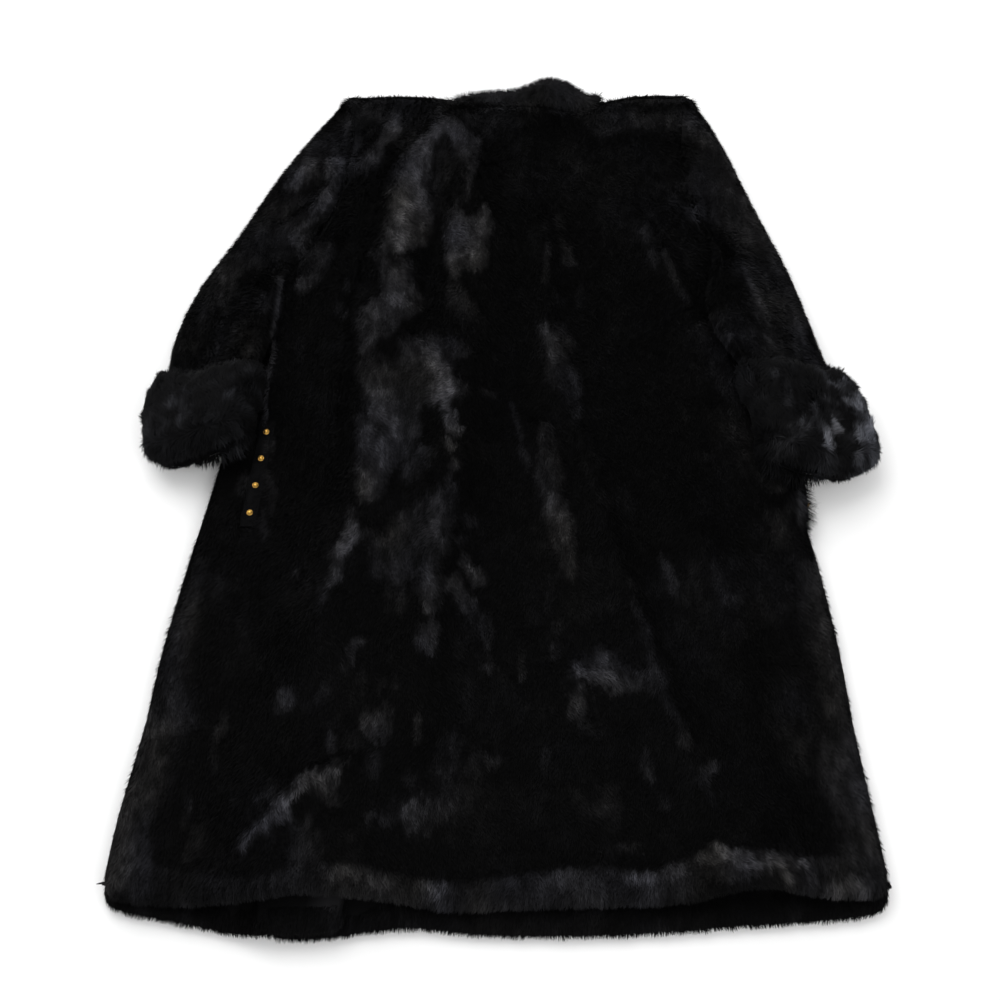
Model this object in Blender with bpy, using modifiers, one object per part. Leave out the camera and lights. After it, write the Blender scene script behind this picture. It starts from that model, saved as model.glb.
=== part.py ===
"""A long plush fur coat laid flat on a surface, back up, with its sleeves along its sides.

Units are metres and +Z is up. +X points right as the back is seen, and +Y from the hem to the
neck. The origin lies on the surface, under the middle of the coat. "Left" is the left of the
person who would wear the coat, which is -X here. The pile counts as part of each cloth wall.
"""

from collections import namedtuple
from math import sqrt

import bmesh
import bpy
import numpy as np
from mathutils import Vector

# ---------------------------------------------------------------- driving sizes
WALL = 0.013              # backing, lining and pile of one layer of the coat
LINING_WALL = 0.0012      # the satin lining on its own
GAP = 0.0004              # clearance between layers that lie on each other
SEAM = 0.0016             # clearance between two panels that are sewn together
UNDERARM_CLEAR = 0.0065   # extra room where the sleeve's seam turns under the arm
SHOULDER_CLEAR = 0.0030   # extra room where it meets the shoulder
FRONT_OVERLAP = 0.075     # how far one front laps over the other
LAP_RAMP = 0.040          # length over which the upper front climbs onto the lower one
LAP_CLEAR = 0.003         # flat cloth between that climb and the edge of the lower front
BACK_RAMP = 0.065         # length over which the back climbs over the lapped fronts
CORNER = 0.020            # radius of the hem's corners, seen from above
EDGE = 0.012              # how far in from an edge the pile rounds off
EDGE_TIP = 0.0008         # what is left of the wall at the very edge
HEM_SWELL = 0.007         # extra height of the turned-up hem of the back
HEM_DEPTH = 0.055         # how deep the turned-up hem is
HEM_LIFT_REACH = 0.120    # how far up the coat a lifted stretch of hem is felt

SLEEVE_SLIT = 0.003       # air left inside a flattened sleeve
CUFF_TOP = 0.023          # pile and turned cloth of a cuff, above the sleeve
CUFF_SIDE = 0.018         # the same at the cuff's two side edges
CUFF_UNDER = 0.0078       # the same below, where the coat's weight flattens it
CUFF_CLEAR = 0.0022       # clearance between a cuff and the sleeve inside it

LINING_INSET = 0.030      # how far the lining stops short of the side seams
LINING_OPENING = 0.014    # how far it stops short of the opening edge
LINING_HEM_Y = -0.516     # where the turned-up hem of the fronts ends and the lining starts
LINING_TOP_Y = 0.220      # the lining is built up to the underarm, past what a gap can show

WELT_WIDTH = 0.018
WELT_WALL = 0.003
STUD_RADIUS = 0.0036
STUD_HEIGHT = 0.0030
STUDS_PER_POCKET = 4

BACK_CELLS = (34, 42)     # cells across and along the back
FRONT_CELLS = {"left": (16, 27), "right": (16, 27)}
LINING_CELLS = (9, 10)
WELT_CELLS = (3, 9)

# ---------------------------------------------------------------- tables
# The outline of the body, from the hem up: armholes above the underarm, side seams below it.
BodyEdge = namedtuple("BodyEdge", "y left_x right_x")
BODY_EDGES = (
    BodyEdge(-0.5200, -0.4340, 0.4020),
    BodyEdge(-0.4855, -0.4330, 0.4015),
    BodyEdge(-0.4205, -0.4245, 0.3925),
    BodyEdge(-0.3315, -0.4055, 0.3805),
    BodyEdge(-0.2385, -0.3935, 0.3725),
    BodyEdge(-0.1415, -0.3735, 0.3575),
    BodyEdge(-0.1040, -0.3655, 0.3505),
    BodyEdge(-0.0850, -0.3610, 0.3440),
    BodyEdge(-0.0400, -0.3515, 0.3435),
    BodyEdge(0.0735, -0.3290, 0.3255),
    BodyEdge(0.1535, -0.3050, 0.3050),
    BodyEdge(0.2035, -0.2885, 0.2850),
    BodyEdge(0.2260, -0.2825, 0.2763),
    BodyEdge(0.2435, -0.2822, 0.2695),
    BodyEdge(0.2640, -0.2768, 0.2592),
    BodyEdge(0.2750, -0.2660, 0.2560),
    BodyEdge(0.2900, -0.2526, 0.2550),
    BodyEdge(0.3100, -0.2420, 0.2500),
    BodyEdge(0.3200, -0.2366, 0.2450),
    BodyEdge(0.3250, -0.2340, 0.2400),
    BodyEdge(0.3500, -0.2210, 0.2320),
    BodyEdge(0.4000, -0.2080, 0.2250),
    BodyEdge(0.4500, -0.2015, 0.2240),
    BodyEdge(0.5000, -0.2030, 0.2290),
    BodyEdge(0.5350, -0.2060, 0.2360),
)

# The top edge of the back: shoulder, neck, shoulder.
TopEdge = namedtuple("TopEdge", "x y")
TOP_EDGE = (
    TopEdge(-0.206, 0.5290),
    TopEdge(-0.164, 0.5330),
    TopEdge(-0.130, 0.5260),
    TopEdge(-0.108, 0.5210),
    TopEdge(-0.085, 0.5190),
    TopEdge(-0.062, 0.5098),
    TopEdge(-0.040, 0.5053),
    TopEdge(0.010, 0.5048),
    TopEdge(0.050, 0.5083),
    TopEdge(0.090, 0.5063),
    TopEdge(0.112, 0.5113),
    TopEdge(0.138, 0.5280),
    TopEdge(0.161, 0.5330),
    TopEdge(0.200, 0.5350),
    TopEdge(0.236, 0.5320),
)
SHOULDER_Y = 0.530

# The hem from left to right: where the back and the fronts end, and how far the back lifts.
Hem = namedtuple("Hem", "x back_y front_y lift")
HEM = (
    Hem(-0.434, -0.520, -0.527, 0.000),
    Hem(-0.380, -0.525, -0.534, 0.000),
    Hem(-0.330, -0.527, -0.544, 0.000),
    Hem(-0.275, -0.524, -0.554, 0.004),
    Hem(-0.235, -0.516, -0.556, 0.011),
    Hem(-0.205, -0.517, -0.561, 0.013),
    Hem(-0.178, -0.518, -0.553, 0.008),
    Hem(-0.140, -0.521, -0.548, 0.002),
    Hem(-0.107, -0.524, -0.540, 0.000),
    Hem(-0.085, -0.531, -0.548, 0.000),
    Hem(-0.040, -0.532, -0.553, 0.000),
    Hem(0.010, -0.529, -0.554, 0.000),
    Hem(0.090, -0.526, -0.554, 0.000),
    Hem(0.147, -0.526, -0.551, 0.002),
    Hem(0.180, -0.524, -0.549, 0.006),
    Hem(0.219, -0.518, -0.546, 0.013),
    Hem(0.262, -0.505, -0.542, 0.022),
    Hem(0.295, -0.514, -0.540, 0.012),
    Hem(0.340, -0.518, -0.538, 0.002),
    Hem(0.402, -0.520, -0.532, 0.000),
)
HEM_Y = -0.520

# The opening edge of the upper front, from the hem to the neck.
OPENING_FOOT = (-0.178, -0.555)
OPENING_HEAD = (0.010, 0.500)

# The neck hollow of the two fronts, which lies deeper than the neckline of the back.
FRONT_NECK_X = 0.022
FRONT_NECK_HALF = 0.138
FRONT_NECK_DROP = 0.100

# Folds of the back. Each ridge follows its path and falls off to its left and its right side.
Fold = namedtuple("Fold", "name height left_reach right_reach path")
BACK_FOLDS = (
    Fold("pleat_left", 0.013, 0.024, 0.075,
         ((-0.064, 0.512), (-0.140, 0.410), (-0.157, 0.285), (-0.178, 0.184), (-0.182, 0.020),
          (-0.190, -0.115), (-0.235, -0.243), (-0.252, -0.320))),
    Fold("pleat_right", 0.011, 0.055, 0.026,
         ((-0.040, 0.440), (-0.025, 0.285), (-0.050, 0.140), (-0.065, 0.005), (-0.075, -0.135),
          (-0.092, -0.260), (-0.110, -0.330))),
    Fold("spine", 0.008, 0.030, 0.030,
         ((0.050, 0.400), (0.049, 0.285), (0.047, 0.170), (0.060, 0.087), (0.068, 0.020))),
    Fold("centre_low", 0.009, 0.034, 0.024,
         ((0.006, 0.080), (0.035, -0.020), (0.057, -0.110), (0.071, -0.170))),
    Fold("flare_inner", 0.011, 0.030, 0.042,
         ((0.077, 0.020), (0.105, -0.085), (0.146, -0.208), (0.171, -0.290), (0.205, -0.380),
          (0.222, -0.470))),
    Fold("flare_outer", 0.010, 0.040, 0.045,
         ((0.190, -0.020), (0.222, -0.140), (0.258, -0.290), (0.275, -0.420), (0.268, -0.520))),
    Fold("underarm_right", 0.009, 0.020, 0.060,
         ((0.150, 0.360), (0.172, 0.315), (0.200, 0.262), (0.214, 0.215))),
    Fold("shoulder_left", 0.008, 0.026, 0.026,
         ((-0.188, 0.470), (-0.168, 0.410), (-0.190, 0.330), (-0.226, 0.250), (-0.240, 0.150))),
    Fold("low_left", 0.014, 0.020, 0.055,
         ((-0.300, -0.500), (-0.274, -0.446), (-0.239, -0.408), (-0.191, -0.386),
          (-0.150, -0.345))),
    Fold("hip_left", 0.007, 0.030, 0.040,
         ((-0.290, -0.160), (-0.318, -0.260), (-0.345, -0.370), (-0.362, -0.470))),
    Fold("skirt_left", 0.008, 0.035, 0.035,
         ((-0.070, -0.300), (-0.082, -0.400), (-0.075, -0.500))),
)
FOLD_FADE = 0.060         # length over which a fold rises at its start and sinks at its end
SIDE_FADE = 0.055         # folds flatten this close to a side edge

# Sleeve stations: the outer and inner edge of the flattened sleeve, how much of the armhole's
# bow its seam keeps, how far its middle runs ahead, and how high it is held off what it lies on.
Station = namedtuple("Station", "outer_x outer_y inner_x inner_y bow ahead rest")
LEFT_SLEEVE = (
    Station(-0.2260, 0.5300, -0.2670, 0.2900, 1.00, 0.000, 0.0000),
    Station(-0.2430, 0.5165, -0.2710, 0.2820, 0.93, 0.000, 0.0000),
    Station(-0.2520, 0.4960, -0.2750, 0.2740, 0.85, 0.000, 0.0000),
    Station(-0.2830, 0.4460, -0.2840, 0.2630, 0.58, 0.000, 0.0000),
    Station(-0.3200, 0.3850, -0.2870, 0.2460, 0.36, 0.000, 0.0000),
    Station(-0.3460, 0.3235, -0.2860, 0.2260, 0.22, 0.000, 0.0000),
    Station(-0.3815, 0.2640, -0.2835, 0.2000, 0.15, 0.000, 0.0005),
    Station(-0.4080, 0.2080, -0.2840, 0.1720, 0.05, 0.000, 0.0020),
    Station(-0.4190, 0.1460, -0.2910, 0.1330, 0.00, 0.003, 0.0090),
    Station(-0.4200, 0.0930, -0.3030, 0.0930, 0.00, 0.006, 0.0110),
    Station(-0.4270, 0.0480, -0.3090, 0.0620, 0.00, 0.010, 0.0110),
    Station(-0.4210, 0.0120, -0.3125, 0.0380, 0.00, 0.014, 0.0110),
    Station(-0.4060, -0.0080, -0.3160, 0.0180, 0.00, 0.014, 0.0110),
)
RIGHT_SLEEVE = (
    Station(0.2530, 0.5300, 0.2470, 0.3300, 1.00, 0.000, 0.0000),
    Station(0.2680, 0.5110, 0.2500, 0.3200, 0.90, 0.000, 0.0000),
    Station(0.2800, 0.4850, 0.2535, 0.3100, 0.80, 0.000, 0.0000),
    Station(0.3050, 0.4170, 0.2580, 0.2900, 0.60, 0.000, 0.0000),
    Station(0.3255, 0.3540, 0.2580, 0.2690, 0.40, 0.000, 0.0000),
    Station(0.3485, 0.2930, 0.2500, 0.2430, 0.25, 0.000, 0.0005),
    Station(0.3665, 0.2350, 0.2400, 0.2100, 0.10, 0.000, 0.0010),
    Station(0.3790, 0.1780, 0.2430, 0.1700, 0.00, 0.000, 0.0020),
    Station(0.3870, 0.1380, 0.2610, 0.1320, 0.00, 0.003, 0.0090),
    Station(0.3990, 0.0980, 0.2810, 0.0960, 0.00, 0.006, 0.0110),
    Station(0.4170, 0.0500, 0.2970, 0.0520, 0.00, 0.012, 0.0110),
    Station(0.4260, 0.0080, 0.3010, 0.0080, 0.00, 0.018, 0.0110),
    Station(0.4190, -0.0160, 0.3040, -0.0120, 0.00, 0.018, 0.0110),
)
# A sleeve climbs onto the body between these two heights on the coat.
Climb = namedtuple("Climb", "start_y end_y")
LEFT_CLIMB = Climb(0.272, 0.206)
RIGHT_CLIMB = Climb(0.316, 0.256)

LEFT_SLEEVE_FOLDS = (
    Fold("cap_outer", 0.006, 0.020, 0.020, ((-0.236, 0.500), (-0.262, 0.440), (-0.300, 0.380))),
    Fold("cap_inner", 0.007, 0.016, 0.022, ((-0.222, 0.430), (-0.246, 0.370), (-0.268, 0.300))),
    Fold("elbow", 0.007, 0.016, 0.028,
         ((-0.335, 0.300), (-0.362, 0.262), (-0.366, 0.200), (-0.362, 0.130))),
)
RIGHT_SLEEVE_FOLDS = (
    Fold("cap_outer", 0.005, 0.020, 0.024, ((0.262, 0.480), (0.284, 0.400), (0.300, 0.330))),
    Fold("elbow", 0.007, 0.024, 0.016,
         ((0.282, 0.250), (0.296, 0.215), (0.312, 0.180), (0.330, 0.130))),
)
SLEEVE_FOLD_FADE = 0.035

# The cuff's fullness along the sleeve, from its turned-back edge to its rolled mouth.
CuffRing = namedtuple("CuffRing", "station fullness")
CUFF_RINGS = (
    CuffRing(8.75, 0.12),
    CuffRing(8.81, 0.45),
    CuffRing(9.00, 0.76),
    CuffRing(9.35, 0.95),
    CuffRing(9.90, 1.00),
    CuffRing(10.45, 0.96),
    CuffRing(11.00, 0.98),
    CuffRing(11.50, 0.84),
    CuffRing(11.78, 0.58),
    CuffRing(11.90, 0.26),
)

# The collar's roll along the neck: the middle of the roll and its radius.
CollarRing = namedtuple("CollarRing", "x y z radius")
COLLAR_RINGS = (
    CollarRing(-0.070, 0.5255, 0.0170, 0.0060),
    CollarRing(-0.062, 0.5235, 0.0185, 0.0110),
    CollarRing(-0.045, 0.5215, 0.0205, 0.0150),
    CollarRing(-0.018, 0.5215, 0.0215, 0.0165),
    CollarRing(0.010, 0.5220, 0.0220, 0.0170),
    CollarRing(0.030, 0.5270, 0.0225, 0.0200),
    CollarRing(0.048, 0.5325, 0.0245, 0.0240),
    CollarRing(0.066, 0.5320, 0.0245, 0.0235),
    CollarRing(0.084, 0.5255, 0.0225, 0.0190),
    CollarRing(0.100, 0.5235, 0.0200, 0.0140),
    CollarRing(0.111, 0.5255, 0.0180, 0.0100),
    CollarRing(0.118, 0.5285, 0.0165, 0.0055),
)
COLLAR_SIDES = 3          # bevel_resolution: ten sides

# Pocket openings: where the welt starts near the cuff and where it ends.
Pocket = namedtuple("Pocket", "top_x top_y low_x low_y")
LEFT_POCKET = Pocket(-0.2875, 0.044, -0.3045, -0.094)
RIGHT_POCKET_TOP_Y = 0.056
RIGHT_POCKET_LOW_Y = -0.075
RIGHT_WELT_LOW_Z = 0.005
RIGHT_WELT_STAND = 0.0022   # how far the right welt stands off the side seam
FIRST_STUD_ALONG = 0.115  # share of the welt's length above the first stud
LAST_STUD_ALONG = 0.875

# Finishes: colour, roughness, metallic.
Finish = namedtuple("Finish", "colour roughness metallic")
FUR = Finish((0.012, 0.012, 0.015, 1.0), 0.75, 0.0)
CUFF_FUR = Finish((0.016, 0.016, 0.020, 1.0), 0.72, 0.0)
SATIN = Finish((0.060, 0.060, 0.066, 1.0), 0.42, 0.0)
WELT_CLOTH = Finish((0.020, 0.019, 0.021, 1.0), 0.60, 0.0)
GOLD = Finish((0.780, 0.520, 0.170, 1.0), 0.28, 1.0)

# ---------------------------------------------------------------- measures worked out
# Distances from the opening edge of the upper front, across its climb onto the lower one.
LAP_INSETS = tuple(FRONT_OVERLAP + LAP_CLEAR + LAP_RAMP * step / 4 for step in range(5))
LAYER = WALL + GAP                                # one front layer with its clearance
BACK_REST = WALL + LINING_WALL + 2 * GAP          # underside of the back over one front
BODY_TOP = BACK_REST + WALL                       # upper side of a flat stretch of the back
SLEEVE_HEIGHT = 2 * WALL + SLEEVE_SLIT
SIDES = {"left": -1, "right": 1}


def ease(value):
    """Rise smoothly from 0 to 1 while value goes from 0 to 1."""
    value = min(max(value, 0.0), 1.0)
    return value * value * (3.0 - 2.0 * value)


def rounding(inset, reach=EDGE):
    """Share of the full wall at a distance in from a rounded edge."""
    open_share = 1.0 - min(max(inset / reach, 0.0), 1.0)
    return sqrt(1.0 - open_share * open_share)


def read_table(table, key, column, at):
    """Read one column of a table between its rows."""
    keys = [getattr(row, key) for row in table]
    values = [getattr(row, column) for row in table]
    return float(np.interp(at, keys, values))


def side_x(side, y):
    """Side edge of the body, on the left or right, at a height on the coat."""
    return read_table(BODY_EDGES, "y", side + "_x", y)


def opening_x(y):
    """Opening edge of the upper front at a height on the coat."""
    (foot_x, foot_y), (head_x, head_y) = OPENING_FOOT, OPENING_HEAD
    return foot_x + (head_x - foot_x) * (y - foot_y) / (head_y - foot_y)


def lap_lift(x, y):
    """Height that the lower front gives to the front lapped over it."""
    from_opening = opening_x(y) - x
    return LAYER * ease((LAP_INSETS[-1] - from_opening) / (LAP_INSETS[-1] - LAP_INSETS[0]))


def back_lap_lift(x, y):
    """Height that the lapped fronts give to the back, which bridges the step on either side."""
    from_opening = opening_x(y) - x
    climb = ease((LAP_INSETS[-1] + BACK_RAMP - from_opening) / (BACK_RAMP - LAP_CLEAR))
    sink = ease((-from_opening - EDGE) / BACK_RAMP)
    return LAYER * climb * (1.0 - sink)


def fold_height(folds, x, y, fade):
    """Height of the ridges in a table of folds at a point of the cloth."""
    return max(ridge_height(fold, x, y, fade) for fold in folds)


def ridge_height(fold, x, y, fade):
    """Height of one ridge at a point: highest on its path, sinking to either side and end."""
    point = np.array((x, y))
    path = np.array(fold.path)
    steps = np.diff(path, axis=0)
    lengths = np.hypot(steps[:, 0], steps[:, 1])
    starts = np.concatenate(((0.0,), np.cumsum(lengths)))
    shares = np.clip(((point - path[:-1]) * steps).sum(axis=1) / lengths ** 2, 0.0, 1.0)
    offsets = point - (path[:-1] + steps * shares[:, None])
    distances = np.hypot(offsets[:, 0], offsets[:, 1])
    nearest = int(distances.argmin())
    step, offset = steps[nearest], offsets[nearest]
    on_left = step[0] * offset[1] - step[1] * offset[0] < 0.0
    reach = fold.left_reach if on_left else fold.right_reach
    along = starts[nearest] + lengths[nearest] * shares[nearest]
    ends = ease(along / fade) * ease((starts[-1] - along) / fade)
    return fold.height * ends * ease(1.0 - distances[nearest] / reach)


def graded(count, span, start_insets, end_insets):
    """Distances from 0 to span for count cells, close together at both ends."""
    inner_count = count + 1 - len(start_insets) - len(end_insets)
    first, last = start_insets[-1], span - end_insets[-1]
    steps = [first + (last - first) * (i + 1) / (inner_count + 1) for i in range(inner_count)]
    return [*start_insets, *steps, *(span - inset for inset in reversed(end_insets))]


FINE_EDGE = (0.0, 0.0012, 0.0045, 0.0120)
PLAIN_EDGE = (0.0,)
OPENING_EDGE = (*FINE_EDGE, *LAP_INSETS)
LINING_EDGE = (0.0, 0.030, *(inset - LINING_OPENING for inset in LAP_INSETS))
HEM_EDGE = (0.0, 0.0012, 0.0045, 0.0120, 0.0300, 0.0550)


def corner_rise(inset):
    """How far the hem rises at an inset from a side edge, to round its corner."""
    if inset >= CORNER:
        return 0.0
    return CORNER - sqrt(CORNER ** 2 - (CORNER - max(inset, 0.0)) ** 2)


def back_spot(column, row):
    """Place one point of the back: x, y, underside and top."""
    columns, rows = BACK_CELLS
    hem_left, hem_right = side_x("left", HEM_Y), side_x("right", HEM_Y)
    hem_inset = graded(columns, hem_right - hem_left, FINE_EDGE, FINE_EDGE)[column]
    top_left, top_right = side_x("left", SHOULDER_Y), side_x("right", SHOULDER_Y)
    top_inset = graded(columns, top_right - top_left, FINE_EDGE, FINE_EDGE)[column]
    edge_inset = min(hem_inset, hem_right - hem_left - hem_inset)
    top_y = read_table(TOP_EDGE, "x", "y", top_left + top_inset)
    hem_x = hem_left + hem_inset
    hem_y = read_table(HEM, "x", "back_y", hem_x) + corner_rise(edge_inset)
    from_top = graded(rows, top_y - hem_y, FINE_EDGE, HEM_EDGE)[row]
    from_hem = top_y - hem_y - from_top
    y = top_y - from_top
    left, right = side_x("left", y), side_x("right", y)
    x = left + graded(columns, right - left, FINE_EDGE, FINE_EDGE)[column]
    side = "left" if column * 2 < columns else "right"
    underarm = (LEFT_SLEEVE if side == "left" else RIGHT_SLEEVE)[0].inner_y
    from_side = min(x - left, right - x)
    if y > underarm:
        from_side += EDGE * ease((y - underarm) / 0.020)
    calm = ease(from_side / SIDE_FADE)
    lift = read_table(HEM, "x", "lift", hem_x) * ease(1.0 - from_hem / HEM_LIFT_REACH)
    folds = fold_height(BACK_FOLDS, x, y, FOLD_FADE) * calm
    swell = HEM_SWELL * ease(1.0 - (from_hem - 0.4 * HEM_DEPTH) / (0.6 * HEM_DEPTH))
    full = WALL + swell
    hem_round = rounding(from_hem)
    edge_round = min(rounding(from_side), rounding(from_top))
    underside = BACK_REST + back_lap_lift(x, y) + folds + lift
    underside += 0.45 * full * (1.0 - hem_round)
    wall = full * min(hem_round, edge_round)
    return x, y, underside, underside + max(wall, EDGE_TIP)


def front_spot(side, column, row):
    """Place one point of a front: the upper, left one or the lower, right one."""
    columns, rows = FRONT_CELLS[side]
    left_edge = FINE_EDGE if side == "left" else PLAIN_EDGE
    right_edge = OPENING_EDGE if side == "left" else FINE_EDGE

    def edges(y):
        """The two side edges of this front at a height on the coat."""
        if side == "left":
            return side_x("left", y), opening_x(y)
        return opening_x(y) - FRONT_OVERLAP, side_x("right", y)

    def across(y):
        """Where this column lies at a height on the coat."""
        left, right = edges(y)
        return left + graded(columns, right - left, left_edge, right_edge)[column]

    hem_x, top_x = across(HEM_Y), across(SHOULDER_Y)
    left, right = edges(HEM_Y)
    seam_inset = hem_x - left if side == "left" else right - hem_x
    hem_y = read_table(HEM, "x", "front_y", hem_x) + corner_rise(seam_inset)
    if side == "left":
        hem_y += 0.5 * corner_rise(right - hem_x)
    neck = ease(1.0 - abs(top_x - FRONT_NECK_X) / FRONT_NECK_HALF)
    top_y = SHOULDER_Y - FRONT_NECK_DROP * neck
    from_top = graded(rows, top_y - hem_y, FINE_EDGE, FINE_EDGE)[row]
    from_hem = top_y - hem_y - from_top
    y = top_y - from_top
    x = across(y)
    left, right = edges(y)
    underarm = (LEFT_SLEEVE if side == "left" else RIGHT_SLEEVE)[0].inner_y
    from_seam = x - left if side == "left" else right - x
    if y > underarm:
        from_seam += EDGE * ease((y - underarm) / 0.020)
    seam_round = min(rounding(from_seam), rounding(from_top))
    open_round = rounding(right - x) if side == "left" else 1.0
    hem_round = min(rounding(from_hem), open_round)
    top = WALL + (lap_lift(x, y) if side == "left" else 0.0)
    top -= 0.40 * WALL * (1.0 - hem_round)
    wall = WALL * min(seam_round, hem_round)
    return x, y, top - max(wall, EDGE_TIP), top


def lining_spot(side, column, row):
    """Place one point of the lining that covers the inside of a front."""
    columns, rows = LINING_CELLS
    y = LINING_HEM_Y + (LINING_TOP_Y - LINING_HEM_Y) * (1.0 - row / rows)
    if side == "left":
        left, right = side_x("left", y) + LINING_INSET, opening_x(y) - LINING_OPENING
        x = left + graded(columns, right - left, PLAIN_EDGE, LINING_EDGE)[column]
    else:
        left, right = opening_x(y) + LINING_OPENING, side_x("right", y) - LINING_INSET
        x = left + graded(columns, right - left, PLAIN_EDGE, PLAIN_EDGE)[column]
    underside = WALL + GAP + (lap_lift(x, y) if side == "left" else 0.0)
    return x, y, underside, underside + LINING_WALL


def close_wall(name, cells, spot, finish):
    """Build a closed cloth wall from a grid.

    spot(column, row) gives each grid point's x and y and the heights of its two faces.
    """
    columns, rows = cells
    mesh_builder = bmesh.new()
    bmesh.ops.create_grid(mesh_builder, x_segments=columns, y_segments=rows, size=0.5)
    place = mesh_builder.verts.layers.int.new("place")
    spots = []
    for vert in mesh_builder.verts:
        vert[place] = len(spots)
        column = round((vert.co.x + 0.5) * columns)
        row = round((0.5 - vert.co.y) * rows)
        spots.append(spot(column, row))
    raised = bmesh.ops.extrude_face_region(mesh_builder, geom=mesh_builder.faces[:])
    upper = {part for part in raised["geom"] if isinstance(part, bmesh.types.BMVert)}
    for vert in mesh_builder.verts:
        x, y, underside, top = spots[vert[place]]
        vert.co = (x, y, top if vert in upper else underside)
    bmesh.ops.recalc_face_normals(mesh_builder, faces=mesh_builder.faces[:])
    return finish_object(name, mesh_builder, finish)


def finish_object(name, mesh_builder, finish):
    """Turn a bmesh into a named, smooth object of the coat with its own material."""
    mesh = bpy.data.meshes.new(name)
    mesh_builder.to_mesh(mesh)
    mesh_builder.free()
    mesh.shade_smooth()
    mesh.materials.append(make_material(name, finish))
    coat_part = bpy.data.objects.new(name, mesh)
    coat_collection.objects.link(coat_part)
    return coat_part


def make_material(name, finish):
    """Make a Principled material with a finish's colour, roughness and metallic value."""
    material = bpy.data.materials.new(name)
    material.use_nodes = True
    shader = material.node_tree.nodes["Principled BSDF"]
    shader.inputs["Base Color"].default_value = finish.colour
    shader.inputs["Roughness"].default_value = finish.roughness
    shader.inputs["Metallic"].default_value = finish.metallic
    material.diffuse_color = finish.colour
    return material


def body_depth(side, x, y):
    """How far inside the body's side edge a point lies, negative outside it."""
    return SIDES[side] * (side_x(side, y) - x)


def sleeve_floor(side, x, y):
    """Height of what a sleeve lies on: the surface, or the side of the body."""
    climb = LEFT_CLIMB if side == "left" else RIGHT_CLIMB
    onto = ease((climb.start_y - y) / (climb.start_y - climb.end_y))
    over = ease((body_depth(side, x, y) + 0.062) / 0.055)
    return (BODY_TOP + GAP) * onto * over


def station_at(side, along):
    """Read a sleeve's table between its stations."""
    table = LEFT_SLEEVE if side == "left" else RIGHT_SLEEVE
    lower = min(int(along), len(table) - 2)
    share = along - lower
    return Station(*(a + (b - a) * share for a, b in zip(table[lower], table[lower + 1])))


def armhole_bow(side, share):
    """How far the armhole seam bows from the straight line between its two ends."""
    first = station_at(side, 0)
    y = first.outer_y + (first.inner_y - first.outer_y) * share
    straight_x = first.outer_x + (first.inner_x - first.outer_x) * share
    clearance = SEAM + UNDERARM_CLEAR * ease((share - 0.6) / 0.4)
    clearance += SHOULDER_CLEAR * ease((0.25 - share) / 0.25)
    return side_x(side, y) + SIDES[side] * clearance - straight_x


def sleeve_ring(side, along, swell, middle):
    """Points round a flattened sleeve at a station, in order from its outer edge.

    The ring lies swell outside the middle of the sleeve's wall, and middle is the half height
    of the flattened tube there. Each point comes with its level, from 1 on the upper wall to
    -1 on the lower one, with how far the sleeve is held up there, and with the ring's radius.
    """
    here = station_at(side, along)
    outer = Vector((here.outer_x, here.outer_y))
    inner = Vector((here.inner_x, here.inner_y))
    width = (inner - outer).length
    heading = (inner - outer).normalized()
    forward = Vector((heading.y, -heading.x)) * -SIDES[side]
    inset = WALL / 2 - swell
    radius = middle + swell
    crown = (0.0, 0.30 * radius, radius)
    rise = (0.0, 0.72, 1.0)
    flat = [radius + (width - 2 * inset - 2 * radius) * (i + 1) / 5 for i in range(4)]
    upper = [*zip(crown, rise), *((reach, 1.0) for reach in flat)]
    upper += [(width - 2 * inset - reach, level) for reach, level in zip(crown[::-1], rise[::-1])]
    lower = [(reach, -level) for reach, level in reversed(upper[1:-1])]
    points = []
    for reach, level in upper + lower:
        share = (reach + inset) / width
        spot = outer + heading * (reach + inset)
        spot += forward * here.ahead * 4 * share * (1 - share)
        spot.x += here.bow * armhole_bow(side, min(max(share, 0.0), 1.0))
        points.append((spot, level, here.rest, radius))
    return points


def ring_tube(name, rings, finish):
    """Join rings of equally many points into an open tube and store each point's weight."""
    columns, rows = len(rings[0]), len(rings) - 1
    mesh_builder = bmesh.new()
    bmesh.ops.create_grid(mesh_builder, x_segments=columns, y_segments=rows, size=0.5)
    weights = mesh_builder.verts.layers.deform.verify()
    for vert in mesh_builder.verts:
        column = round((vert.co.x + 0.5) * columns) % columns
        row = round((0.5 - vert.co.y) * rows)
        x, y, z, weight = rings[row][column]
        vert.co = (x, y, z)
        vert[weights][0] = weight
    bmesh.ops.remove_doubles(mesh_builder, verts=mesh_builder.verts[:], dist=0.00001)
    bmesh.ops.recalc_face_normals(mesh_builder, faces=mesh_builder.faces[:])
    tube = finish_object(name, mesh_builder, finish)
    tube.vertex_groups.new(name="fullness")
    return tube


def face_tube_outward(tube):
    """Turn an open tube's faces so that they point away from its middle line."""
    mesh = tube.data
    middle = Vector(np.mean([vert.co for vert in mesh.vertices], axis=0))
    outward = sum((face.center - middle).dot(face.normal) * face.area for face in mesh.polygons)
    if outward < 0.0:
        mesh.flip_normals()


def thicken(tube, thickness, offset, grouped=False):
    """Give an open surface its wall with a Solidify modifier."""
    wall = tube.modifiers.new("Wall", "SOLIDIFY")
    wall.thickness = thickness
    wall.offset = offset
    if grouped:
        wall.vertex_group = "fullness"
        wall.thickness_vertex_group = 0.0


SLEEVE_STATIONS = (0.0, 0.5, 1.0, 1.6, 2.3, 3.0, 3.7, 4.4, 5.1, 5.8, 6.5, 7.3, 8.0, 8.75, 9.35,
                   9.9, 10.45, 11.0, 11.2)


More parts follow.
